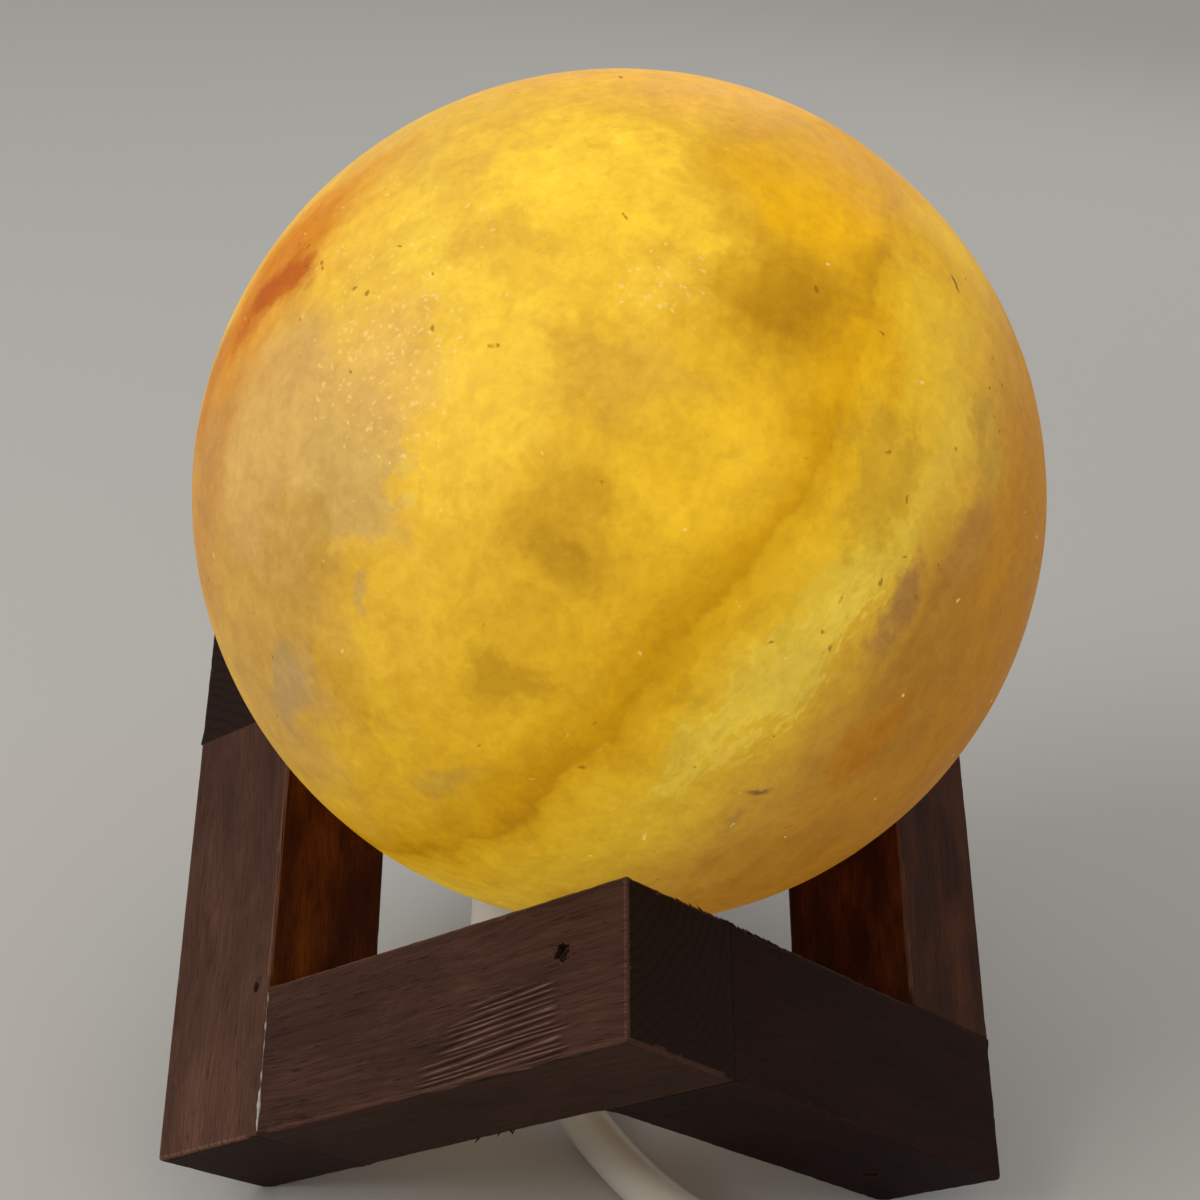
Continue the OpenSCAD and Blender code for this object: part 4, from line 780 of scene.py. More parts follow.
def revolve(profile, steps):
    """Points and faces of a profile of (radius, height) turned round Z; a radius of 0 is a pole."""
    points, rows, faces = [], [], []
    for r, z in profile:
        if r < 1e-9:
            rows.append([len(points)] * steps)
            points.append((0, 0, z))
        else:
            rows.append(list(range(len(points), len(points) + steps)))
            points += [round_z(r, 2 * math.pi * k / steps, z) for k in range(steps)]
    for low, high in zip(rows, rows[1:]):
        for k in range(steps):
            n = (k + 1) % steps
            faces.append(list(dict.fromkeys([low[k], low[n], high[n], high[k]])))
    return points, faces


def smooth_line(route, per_span):
    """A smooth curve through the points of a route, as a list of vectors."""
    ends = [2 * route[0] - route[1], *route, 2 * route[-1] - route[-2]]
    line = []
    for a, b, c, d in zip(ends, ends[1:], ends[2:], ends[3:]):
        for k in range(per_span):
            t = k / per_span
            line.append(0.5 * (2 * b + (c - a) * t + (2 * a - 5 * b + 4 * c - d) * t * t
                               + (3 * b - a - 3 * c + d) * t ** 3))
    line.append(route[-1].copy())
    return line


def capped(rows, steps):
    """Faces of a closed tube that has this many rings of points."""
    faces = [[i * steps + k, i * steps + (k + 1) % steps, (i + 1) * steps + (k + 1) % steps,
              (i + 1) * steps + k] for i in range(rows - 1) for k in range(steps)]
    return faces + [list(range(steps - 1, -1, -1)), [(rows - 1) * steps + k for k in range(steps)]]


def swept(line, radii, sides):
    """Points and faces of a closed tube along a line of vectors."""
    count = len(line)
    tangents = [(line[min(i + 1, count - 1)] - line[max(i - 1, 0)]).normalized() for i in range(count)]
    side = tangents[0].orthogonal().normalized()
    points = []
    for i, (place, along) in enumerate(zip(line, tangents)):
        if i:
            side = tangents[i - 1].rotation_difference(along) @ side
            side = (side - along * side.dot(along)).normalized()
        up = along.cross(side)
        for k in range(sides):
            angle = 2 * math.pi * k / sides
            points.append(place + radii[i] * (math.cos(angle) * side + math.sin(angle) * up))
    return points, capped(count, sides)


def eased_copy(name, node, maker, width, segments=2):
    """A copy of a solid's mesh with its sharp edges rounded, to stand for it."""
    shape = bmesh.new()
    shape.from_mesh(frame["nodes"][node].data)
    bmesh.ops.remove_doubles(shape, verts=shape.verts, dist=1e-6)
    bmesh.ops.dissolve_limit(shape, angle_limit=math.radians(0.5), verts=shape.verts, edges=shape.edges)
    mesh = bpy.data.meshes.new(name)
    shape.to_mesh(mesh)
    shape.free()
    mesh.materials.clear()
    mesh.materials.append(finish_of(maker))
    mesh.polygons.foreach_set("material_index", [0] * len(mesh.polygons))
    made = placed(name, mesh)
    ease = made.modifiers.new("eased_edges", "BEVEL")
    ease.width = width
    ease.segments = segments
    ease.limit_method = "ANGLE"
    ease.angle_limit = math.radians(EASE_OVER)
    return smoothed(applied(made), EASE_OVER)


def marked(made, label, kind, values):
    """Writes a value or a vector at each point of the piece, for its nodes to read."""
    made.data.attributes.new(label, kind, "POINT").data.foreach_set(
        "vector" if kind == "FLOAT_VECTOR" else "value", values)


def joined(name, parts):
    """One object out of several, with all their finishes."""
    shape = bmesh.new()
    mesh = bpy.data.meshes.new(name)
    for part in parts:
        first = len(mesh.materials)
        for finish in part.data.materials:
            mesh.materials.append(finish)
        before = len(shape.faces)
        shape.from_mesh(part.data)
        shape.faces.ensure_lookup_table()
        for face in shape.faces[before:]:
            face.material_index += first
        bpy.data.objects.remove(part)
    shape.to_mesh(mesh)
    shape.free()
    return placed(name, mesh)


def threaded_shell(radius, depth, wall, pitch, low, high, plain=(0, 0), steps=72):
    """Points and faces of a rolled right-hand thread in sheet metal, plain over a length at each end."""
    rows = max(8, round((high - low) / (pitch / 10)))
    points = []
    for side in (0, wall):
        for i in range(rows + 1):
            z = low + (high - low) * i / rows
            start = min(1, max(0, (z - low - plain[0]) / (0.4 * pitch)))
            stop = min(1, max(0, (high - plain[1] - z) / (0.4 * pitch)))
            fade = (start * stop) ** 2 * (3 - 2 * start * stop)
            for k in range(steps):
                angle = 2 * math.pi * k / steps
                wave = (1 - math.cos(2 * math.pi * z / pitch - angle)) / 2
                r = radius - depth * wave * fade - side
                points.append(round_z(r, angle, z))
    faces = []
    ring = (rows + 1) * steps
    for i in range(rows):
        for k in range(steps):
            n = (k + 1) % steps
            a, b = i * steps, (i + 1) * steps
            faces.append([a + k, a + n, b + n, b + k])
            faces.append([ring + b + k, ring + b + n, ring + a + n, ring + a + k])
    for k in range(steps):
        n = (k + 1) % steps
        top = rows * steps
        faces.append([top + k, top + n, ring + top + n, ring + top + k])
        faces.append([ring + k, ring + n, n, k])
    return points, faces


# Fasteners: one is modelled, and geometry nodes put it at each place


def fastener_tree():
    """Geometry nodes that set one modelled fastener on each point, turned along the point's axis."""
    tree, given = geometry_tree("fasteners", {"Fastener": "Object"})
    axis = add(tree, "GeometryNodeInputNamedAttribute", {"Name": "axis"}, data_type="FLOAT_VECTOR")[0]
    turn = add(tree, "FunctionNodeAlignRotationToVector", {"Vector": axis}, axis="Z")[0]
    model = add(tree, "GeometryNodeObjectInfo", {"Object": given["Fastener"]})["Geometry"]
    copies = add(tree, "GeometryNodeInstanceOnPoints", {"Points": given["Geometry"], "Instance": model,
                                                        "Rotation": turn})[0]
    return closed_tree(tree, given, copies)


def fasteners(name, model, places, maker):
    """Copies of a model at each (place, direction) pair, as one plain mesh."""
    made = piece(name, [place for place, axis in places], [], maker)
    marked(made, "axis", "FLOAT_VECTOR", [c for place, axis in places for c in axis])
    tree = bpy.data.node_groups.get("fasteners") or fastener_tree()
    shaped(made, tree, {"Fastener": model, "Material": finish_of(maker)})
    bpy.data.objects.remove(model)
    return made


def slotted_screw(head_r, head_t, shank_r, long, maker):
    """A pan-head screw with a straight slot, its head below the origin and its thread along +Z."""
    round_r = 0.45 * head_t
    head = [(0, -head_t), (head_r - round_r * 1.6, -head_t)]
    head += [(head_r - round_r * 1.6 * (1 - math.sin(a)), -head_t + round_r * (1 - math.cos(a)))
             for a in (math.pi / 8 * k for k in range(1, 5))]
    head += [(head_r, -0.06 * MM), (head_r - 0.06 * MM, 0), (shank_r * 0.8, 0), (0, 0)]
    top = outward(piece("screw_head", *revolve(head, 40), maker))
    slot = bmesh.new()
    bmesh.ops.create_cube(slot, size=1, matrix=Matrix.Translation((0, 0, -head_t)) @ Matrix.Diagonal(
        (head_r * 2.4, head_r * 0.3, head_t * 0.9, 1)))
    cut_out(top, slot)
    pitch = shank_r * 0.62
    rows = round(long / pitch * 8)
    steps = 20
    points = []
    for i in range(rows + 1):
        z = long * i / rows
        taper = 1 - 0.75 * max(0, (z / long - 0.9) / 0.1)
        for k in range(steps):
            angle = 2 * math.pi * k / steps
            wave = abs((z / pitch - angle / (2 * math.pi)) % 1 - 0.5) * 2
            r = shank_r * taper * (0.8 + 0.2 * wave)
            points.append(round_z(r, angle, z))
    thread = piece("screw_thread", points, capped(rows + 1, steps), maker)
    return smoothed(joined("slotted_screw", [top, thread]), 35)


def wire_nail(maker):
    """A wire nail with its flat, slightly dished head at the origin and its shank along +Z."""
    head_r, head_t, shank_r, long = 1.27 * MM, 0.9 * MM, 0.9 * MM, 34 * MM
    profile = [(0, 0.03 * MM), (head_r * 0.55, 0), (head_r - 0.15 * MM, 0), (head_r, 0.15 * MM),
               (head_r, head_t - 0.3 * MM), (shank_r, head_t), (shank_r, long), (0, long + 1.5 * MM)]
    return outward(piece("wire_nail", *revolve(profile, 28), maker))


def settle(made, body, slot, *nodes):
    """The piece rides on its body and stands for its nodes. The slot is not used."""
    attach(made, body)
    if nodes:
        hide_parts(*nodes)
    return made


def eased_pieces(body, *rows):
    """Eased copies that stand for their solids, from rows of node, finish, slot and radius."""
    for node, maker, slot, ease in rows:
        settle(eased_copy(node + "_piece", node, maker, ease), body, slot, node)


# Cord: the route's own points, from the boot to the switch, from there to the coil, and to the plug


LEAD_ROUTE = [
    (-2.1, -11.4, 7.3), (1.5, -17.1, 4.5), (5.3, -23.2, 3.5), (9.0, -29.2, 3.5),
    (12.8, -35.1, 4.2), (16.5, -41.1, 5.8), (20.2, -47.0, 6.5), (23.9, -52.9, 6.5),
]
TAIL_ROUTE = [
    (56.8, -105.5, 6.5), (60.5, -111.4, 6.5), (63.6, -117.7, 5.8), (65.2, -124.5, 4.3),
    (65.4, -131.6, 3.5), (64.1, -138.4, 3.5), (61.4, -144.9, 3.5), (57.3, -150.6, 3.5),
    (52.2, -155.4, 3.5), (46.1, -159.0, 3.5), (39.5, -161.2, 3.5), (32.5, -161.9, 3.5),
    (22.0, -161.9, 3.6), (12.0, -161.9, 3.9), (1.5, -161.9, 4.1), (-9.5, -161.9, 4.1),
]
END_ROUTE = [
    (-9.5, -64.0, 11.7), (-2.2, -64.8, 12.2), (4.7, -67.1, 13.6), (11.0, -70.9, 15.6),
    (16.3, -75.8, 17.5), (20.4, -81.9, 19.0), (23.2, -88.6, 19.5), (24.4, -95.4, 19.8),
    (23.9, -102.3, 20.5), (21.9, -108.9, 21.5), (18.4, -114.9, 22.2), (13.7, -119.9, 22.5),
    (8.3, -124.4, 22.5),
]
# Where the cord leaves the cap and the way it heads, the bend of its boot, and the boot's radii
EXIT_AT = Vector((-9.5, 0.5, 31.5)) * MM
CORD_HEADING = math.radians(-58)
BOOT_BEND = 28 * MM
BOOT_TURN = math.radians(45)
BOOT_RADII = (5.4 * MM, 4.4 * MM)
BOOT_RIBS = 7
BOOT_STEPS = 98
# The coil: the turns that its climb to the upper layer takes, its points in a turn, and the tie's
# thickness under it
COIL_CLIMB = 0.5
COIL_STEPS = 24
TIE_T = 0.6 * MM


def route_points(route):
    return [Vector(p) * MM for p in route]


def boot_point(angle):
    ahead = Vector((math.cos(CORD_HEADING), math.sin(CORD_HEADING), 0))
    return EXIT_AT + BOOT_BEND * (1 - math.cos(angle)) * ahead - Vector((0, 0, BOOT_BEND * math.sin(angle)))


def coil_points():
    """Two layers that spiral in and out again, and climb a layer in the half turn in the middle."""
    look = bpy.context.scene.lamp_cord
    pitch = look.diameter + look.coil_gap
    half = look.coil_turns / 2
    outer = look.coil_inner + (half - COIL_CLIMB / 4) * pitch
    start = Vector(TAIL_ROUTE[-1]) * MM
    middle = Vector((start.x - look.diameter, start.y + outer, 0))
    steps = round(look.coil_turns * COIL_STEPS)
    points = []
    for i in range(steps + 1):
        turned = i * look.coil_turns / steps
        off = abs(turned - half)
        drawn = off * off / COIL_CLIMB if off < COIL_CLIMB / 2 else off - COIL_CLIMB / 4
        r = look.coil_inner + pitch * drawn
        climbed = min(1, max(0, (turned - half) / COIL_CLIMB + 0.5))
        angle = -math.pi / 2 - 2 * math.pi * turned
        rise = look.diameter / 2 + TIE_T + pitch * (1 - math.cos(math.pi * climbed)) / 2
        points.append(middle + round_z(r, angle, rise))
    return points


def kept_in(points, *nodes):
    """A lead's points, pressed flat where they would sink into the floor or pass their solids' box."""
    boxes = [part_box(node) for node in nodes]
    low = [min(box[0][axis] for box in boxes) for axis in range(3)]
    high = [max(box[1][axis] for box in boxes) for axis in range(3)]
    return [Vector([min(max(c, a), b) for c, a, b in zip(point, low, high)]) for point in points]


class LampCords(bpy.types.Operator):
    """Lays the mains lead: from the boot to the switch, and from there over its coil to the plug"""
    bl_idname = "salt_lamp.cords"
    bl_label = "Mains lead"

    def execute(self, context):
        look = context.scene.lamp_cord
        r = look.diameter / 2
        lead = smooth_line([boot_point(BOOT_TURN)] + route_points(LEAD_ROUTE), 8)
        points, faces = swept(lead, [r] * len(lead), 32)
        made = piece("mains_lead_to_switch", kept_in(points, "cord_lead"), faces, soft_sheath)
        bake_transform(made)
        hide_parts("cord_lead")
        flex = smooth_line(route_points(TAIL_ROUTE) + coil_points() + route_points(END_ROUTE), 4)
        points, faces = swept(flex, [r] * len(flex), 20)
        parts = ("cord_tail", "cord_coil", "cord_end")
        made = piece("mains_lead_to_plug", kept_in(points, *parts), faces, soft_sheath)
        settle(made, "root", "lead_plastic", *parts)
        return {"FINISHED"}


# Stand


def cube_to_table(look, third=0):
    """From the cube's front corner and its edges to the table, turned on by thirds of a circle."""
    stand_y = -look.cube_edge * math.sqrt(2 / 3)
    stand_z = (look.cube_edge + look.stick_w) / math.sqrt(3) - look.foot_cut
    front = (Matrix.Translation((0, stand_y, stand_z))
             @ Matrix.Rotation(-math.acos(1 / math.sqrt(3)), 4, "X") @ Matrix.Rotation(math.pi / 4, 4, "Z"))
    return Matrix.Rotation(-2 * math.pi / 3 * third, 4, "Z") @ front


# Each stick: upper ones show their end at an upper corner, foot ones butt on the one above; then how many
# thirds of a turn, where the heart of the tree lies across the stick, in millimetres, how much darker it is
# drawn at its two ends, by darker stain and by painted shade, and how much of the globe's orange glow,
# painted on, its outer faces have
STICKS = {
    "front_left_rail": ("upper", 0, (-16.0, 34.0), (0.50, 0.52), 0.0),
    "rear_left_rail": ("upper", 1, (44.0, -12.0), (0.6, 0.6), 0.0),
    "right_post": ("upper", 2, (-20.0, -14.0), (0.62, 0.4), 0.5),
    "front_right_rail": ("foot", 0, (38.0, 30.0), (0.92, 0.92), 0.0),
    "left_post": ("foot", 1, (60.0, 9.0), (0.45, 0.05), 0.0),
    "rear_right_rail": ("foot", 2, (-24.0, 30.0), (0.6, 0.6), 0.0),
}
# Where the nails enter the upper and the foot joints, in stick widths from the joint's corner; the
# radius of their holes, and how deep their heads are sunk
UPPER_NAIL = (0.49, 0.63)
LOWER_NAIL = (0.70, 0.62)
NAIL_HOLE_R = 1.45 * MM
NAIL_SINK = 1.5 * MM
# The small hole beside the left seam, in millimetres from the cube's front corner
CHIP_AT = (0, 68.9, 21.9)
# Radius left on an edge where it meets its neighbour in a joint
SEAM_EASE = 0.12 * MM
# Splinters along the right rail's upper edge, and points along the bead of glue
SPLINTERS = 26
GLUE_STEPS = 90


def stick_stations(long, edge, step):
    """Places along an edge: close together where it is rounded, evenly spaced between."""
    ends = [edge * 1.9 * share for share in (0, 0.12, 0.28, 0.5, 0.75, 1.05, 1.5)]
    count = max(2, round((long - 2 * ends[-1]) / step))
    middle = [ends[-1] + (long - 2 * ends[-1]) * k / count for k in range(1, count)]
    return ends + middle + [long - e for e in reversed(ends)]


def lattice(along, across):
    """Points and faces of a closed square bar, with a point at each of these places on its faces."""
    counts = (len(along) - 1, len(across) - 1, len(across) - 1)
    numbers, faces = {}, []
    for axis, u, v in ((0, 1, 2), (1, 0, 2), (2, 0, 1)):
        for side, a, b in product((0, counts[axis]), range(counts[u]), range(counts[v])):
            loop = []
            for da, db in ((0, 0), (1, 0), (1, 1), (0, 1)):
                at = [0, 0, 0]
                at[axis], at[u], at[v] = side, a + da, b + db
                loop.append(numbers.setdefault(tuple(at), len(numbers)))
            faces.append(loop)
    return [Vector((along[i], across[j], across[k])) for i, j, k in numbers], faces


def stick_shape(name, kind, third, heart, deep, painted_glow, look):
    """One stick with rubbed edges, and what its wood needs to know at each point."""
    width = look.stick_w
    long = look.cube_edge - look.stick_w
    fine = 0.5 if name in ("front_left_rail", "front_right_rail") else 0.8
    places, faces = lattice(stick_stations(long, look.ease, fine * MM),
                            stick_stations(width, look.ease, fine * MM))
    seed = Vector((third * 31.0, 17.0 if kind == "upper" else 53.0, 7.0))
    dims = Vector((long, width, width))
    points = []
    known = {label: [] for label in ("end", "edge", "torn", "inner", "deep")}
    grain = []
    for p in places:
        mm = p / MM
        rough = noise.noise(Vector((mm.x * 0.5, mm.y * 0.9, mm.z * 0.9)) + seed)
        slow = noise.noise(mm * 0.07 + seed)
        seam = jointed(mm, kind, look)
        ragged = 0.9 * splintered(name, mm) * max(0, noise.noise(mm * 0.75 - seed) + 0.15)
        worn = look.ease * 0.7 + look.wear * max(0, 0.3 * slow + 0.28 * rough) + ragged * MM
        worn += (SEAM_EASE - worn) * seam
        inner = Vector([min(max(c, worn), d - worn) for c, d in zip(p, dims)])
        out = p - inner
        bend = sum(1 for c in out if abs(c) > 1e-9)
        normal = out.normalized() if out.length > 1e-12 else Vector((0, 0, 1))
        q = inner + normal * worn
        q -= normal * MM * (1 - seam) * (0.04 + 0.04 * slow + 0.05 * abs(noise.noise(Vector(
            (mm.x * 0.12, mm.y * 1.1, mm.z * 1.1)) - seed)))
        saw = torn_patch(mm) if name == "front_left_rail" else 0.0
        streak = noise.noise(Vector((mm.x * 0.08, mm.y * 1.2, mm.z * 1.25)) + seed * 2)
        q -= normal * MM * saw * (0.08 + 0.06 * streak)
        points.append(q)
        grain.append((mm.x + seed.x * 3, mm.y - heart[0], mm.z - heart[1]))
        known["end"].append(max(0.0, min(1.0, abs(normal.x) * 2 - 0.9)))
        known["edge"].append((1.0 if bend > 1 else 0.0) * (1 - seam))
        known["torn"].append(saw)
        # Painted light: the faces towards the globe take its orange glow
        facing = max(0.0, min(1.0, max(normal.y, normal.z) * 2 - 0.9))
        known["inner"].append(max(facing, painted_glow))
        # Painted shade with darker stain, less on the faces towards the globe
        known["deep"].append((1 - 0.8 * facing) * (deep[0] + (deep[1] - deep[0]) * mm.x / (long / MM)))
    to_table = cube_to_table(look, third)
    low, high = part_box(name)
    for i, q in enumerate(points):
        cube = Vector((q.y, q.x, q.z)) if kind == "upper" else Vector((q.x + width, q.y, q.z))
        # The feet are sanded flat, so nothing passes the solid's own box
        points[i] = Vector([min(max(c, a), b) for c, a, b in zip(to_table @ cube, low, high)])
    made = outward(piece(name + "_wood", points, faces, walnut_stained_pine))
    for label, values in known.items():
        marked(made, label, "FLOAT", values)
    marked(made, "grain", "FLOAT_VECTOR", [c for g in grain for c in g])
    return made


def near(off, reach):
    """1 at no distance, falling smoothly to 0 at the reach."""
    t = max(0.0, 1 - abs(off) / reach)
    return t * t * (3 - 2 * t)


def jointed(mm, kind, look):
    """1 where a stick's edge meets its neighbour at a butt joint, and so isn't rounded; 0 elsewhere."""
    width = look.stick_w / MM
    long = (look.cube_edge - look.stick_w) / MM
    if kind == "upper":
        butted = near(mm.x - long, 2.5)
        carrying = near(mm.y - width, 2.5) * near(max(0, mm.x - width), 2.0)
    else:
        butted = near(mm.x, 2.5)
        carrying = near(mm.z - width, 2.5) * near(max(0, long - width - mm.x), 2.0)
    return max(butted, carrying)


def splintered(name, mm):
    """How splintered an edge is: most at the right rail's upper edge near the front corner."""
    if name == "front_right_rail":
        return 0.35 + near(mm.x - 9, 16) * near(mm.z - 21, 3)
    return 0.12


# The torn patch on the front left rail, in millimetres from the front corner and up from the lower
# edge: where it starts, where its slanting left end lies at the bottom, and its height
TORN_FROM = 8.5
TORN_TO = 39.5
TORN_H = 11.0


def torn_patch(mm):
    """How torn the front left rail's outer face is: long strands by its lower edge, with ragged ends."""
    if mm.y > 1.2:
        return 0.0
    strand = noise.noise(Vector((3.0, mm.z * 1.1, 2.0)))
    top = TORN_H + 1.2 * noise.noise(Vector((mm.x * 0.15, 4.0, 2.0))) - mm.z
    left = TORN_TO - 1.05 * mm.z + 6 * strand - mm.x
    right = mm.x - TORN_FROM - 3 * strand - 0.25 * mm.z
    return max(0.0, min(1.0, top / 1.2, left / 6.0, right / 3.0))


def nail_places(look):
    """Each nail's place on the wood's face and its direction, for the six joints."""
    width = look.stick_w
    for third in range(3):
        to_table = cube_to_table(look, third)
        turn = to_table.to_3x3()
        yield to_table @ Vector((0, UPPER_NAIL[0] * width, UPPER_NAIL[1] * width)), turn @ Vector((1, 0, 0))
        low = Vector((look.cube_edge - LOWER_NAIL[0] * width, LOWER_NAIL[1] * width, 0))
        yield to_table @ low, turn @ Vector((0, 0, 1))


def drill(made, look):
    """Cuts the nail holes out of a stick, where they meet it, and the small hole beside the left seam."""
    cutter = bmesh.new()
    chip = (cube_to_table(look) @ Matrix.Translation(Vector(CHIP_AT) * MM)
            @ Matrix.Rotation(math.pi / 2, 4, "Y"))
    bmesh.ops.create_cone(cutter, cap_ends=True, segments=9, radius1=0.95 * MM, radius2=0.35 * MM,
                          depth=2.4 * MM, matrix=chip @ Matrix.Diagonal((1.3, 0.8, 1, 1)))
    for place, into in nail_places(look):
        turn = Vector((0, 0, 1)).rotation_difference(into).to_matrix().to_4x4()
        where = Matrix.Translation(place + into * (NAIL_SINK - 2 * MM) / 2) @ turn
        hole = bmesh.ops.create_cone(cutter, cap_ends=True, segments=28, radius1=NAIL_HOLE_R,
                                     radius2=NAIL_HOLE_R, depth=NAIL_SINK + 2 * MM, matrix=where)
        for corner in hole["verts"]:
            off = corner.co - place
            off -= into * off.dot(into)
            corner.co += off * (0.55 * noise.noise(off / MM * 1.6 + place * 90) - 0.08)
    return cut_out(made, cutter)


class LampStand(bpy.types.Operator):
    """Builds the six stained sticks of the stand, with their rubbed edges and nail holes"""
    bl_idname = "salt_lamp.stand"
    bl_label = "Stand"

    def execute(self, context):
        look = context.scene.lamp_stand
        for name, (kind, third, heart, deep, painted_glow) in STICKS.items():
            made = drill(stick_shape(name, kind, third, heart, deep, painted_glow, look), look)
            settle(smoothed(made, 50), "root", "stained_pine", name)
        return {"FINISHED"}


def slivers(look):
    """Where splinters stand off the wood: root and tip in millimetres from the cube's front corner, and
    thickness. Along the right rail's upper edge, under the left rail, and one at the front nail hole."""
    width = look.stick_w / MM
    for i in range(SPLINTERS):
        x = 11.5 + 0.85 * i + 0.8 * noise.noise(Vector((i * 1.7, 2.0, 5.0)))
        long = 1.5 + 2.0 * noise.noise(Vector((i * 2.3, 7.0, 1.0)))
        rise = 0.16 + 0.5 * noise.noise(Vector((i * 1.1, 4.0, 9.0)))
        yield (x, 0.4, width - 0.4), (x - long, 0.3 - rise * 0.4, width - 0.2 + rise), 0.26
    for y, long, lean in ((37.0, 0.3, 0.9), (38.1, 0.5, -0.5), (39.6, 0.25, 1.2), (43.4, 0.4, 1.6)):
        yield (width - 0.5, y, 0.5), (width - 0.1, y + lean, -long), 0.3
    yield (0.3, 11.6, 12.6), (-0.25, 9.6, 13.7), 0.22


class LampSplinters(bpy.types.Operator):
    """Raises the splinters that the saw left along the stand's edges"""
    bl_idname = "salt_lamp.splinters"
    bl_label = "Splinters"

    def execute(self, context):
        look = context.scene.lamp_stand
        to_table = cube_to_table(look)
        points, faces = [], []
        for root, tip, thick in slivers(look):
            first = len(points)
            root, tip = Vector(root), Vector(tip)
            side = (tip - root).cross(Vector((0.3, 0.5, 0.8))).normalized()
            other = (tip - root).cross(side).normalized()
            for k in range(3):
                turn = 2 * math.pi * k / 3
                off = (side * math.cos(turn) + other * math.sin(turn)) * thick
                points.append(to_table @ ((root + off) * MM))
            points.append(to_table @ (tip * MM))
            faces += [(first, first + 1, first + 2)]
            faces += [(first + k, first + (k + 1) % 3, first + 3) for k in range(3)]
        made = outward(piece("edge_splinters", points, faces, walnut_stained_pine, smooth=False))
        # Painted shade: the splinters are drawn darker
        marked(made, "deep", "FLOAT", [0.8] * len(points))
        settle(made, "root", "stained_pine")
        return {"FINISHED"}


class LampNails(bpy.types.Operator):
    """Drives the six sunk nails, one at each joint of the stand"""
    bl_idname = "salt_lamp.nails"
    bl_label = "Nails"

    def execute(self, context):
        look = context.scene.lamp_stand
        places = [(place + into * NAIL_SINK, into) for place, into in nail_places(look)]
        made = fasteners("sunk_nails", wire_nail(black_steel), places, black_steel)
        settle(made, "root", "nail_steel", "joint_nails")
        return {"FINISHED"}


class LampGlue(bpy.types.Operator):
    """Squeezes a bead of glue out of the left joint, as on the photographed stand"""
    bl_idname = "salt_lamp.glue"
    bl_label = "Glue bead"

    def execute(self, context):
        look = context.scene.lamp_stand
        to_table = cube_to_table(look)
        line, radii = [], []
        for i in range(GLUE_STEPS + 1):
            t = i / GLUE_STEPS
            lump = noise.noise(Vector((t * 14, 3.0, 1.0)))
            # Lumpy and thin, with one swelling a sixth of the way up
            thick = 0.03 + 0.28 * lump + 0.26 * math.exp(-((t - 0.16) / 0.14) ** 2)
            sway = 0.12 * noise.noise(Vector((t * 9, 8.0, 5.0)))
            place = Vector((0.02 * MM, look.cube_edge - look.stick_w + sway * MM,
                            look.stick_w * (0.03 + 0.93 * t)))
            line.append(to_table @ place)
            radii.append(max(0.02, thick) * MM)
        made = piece("glue_bead", *swept(line, radii, 10), dried_glue)
        settle(made, "root", "stained_pine")
        return {"FINISHED"}


# Globe


# How far apart the rubbed facets and the pits lie
FACET_SIZE = 26 * MM
PIT_SIZE = 5 * MM
# The blind bore: its radius, the height of its end, and the chamfer round its mouth
BORE_R = 16 * MM
BORE_END = 129.23 * MM
BORE_CHAMFER = 0.8 * MM


def ball_profile(look, rings):
    """Radius and height round the ball, from the rim of its ground flat to its top."""
    radius = look.diameter / 2
    middle = GLOBE_HIGH.z - radius
    low = math.asin((GLOBE_LOW.z - middle) / radius)
    turns = [low + (math.pi / 2 - low) * k / rings for k in range(rings)]
    return [(radius * math.cos(a), middle + radius * math.sin(a)) for a in turns] + [(0, middle + radius)]


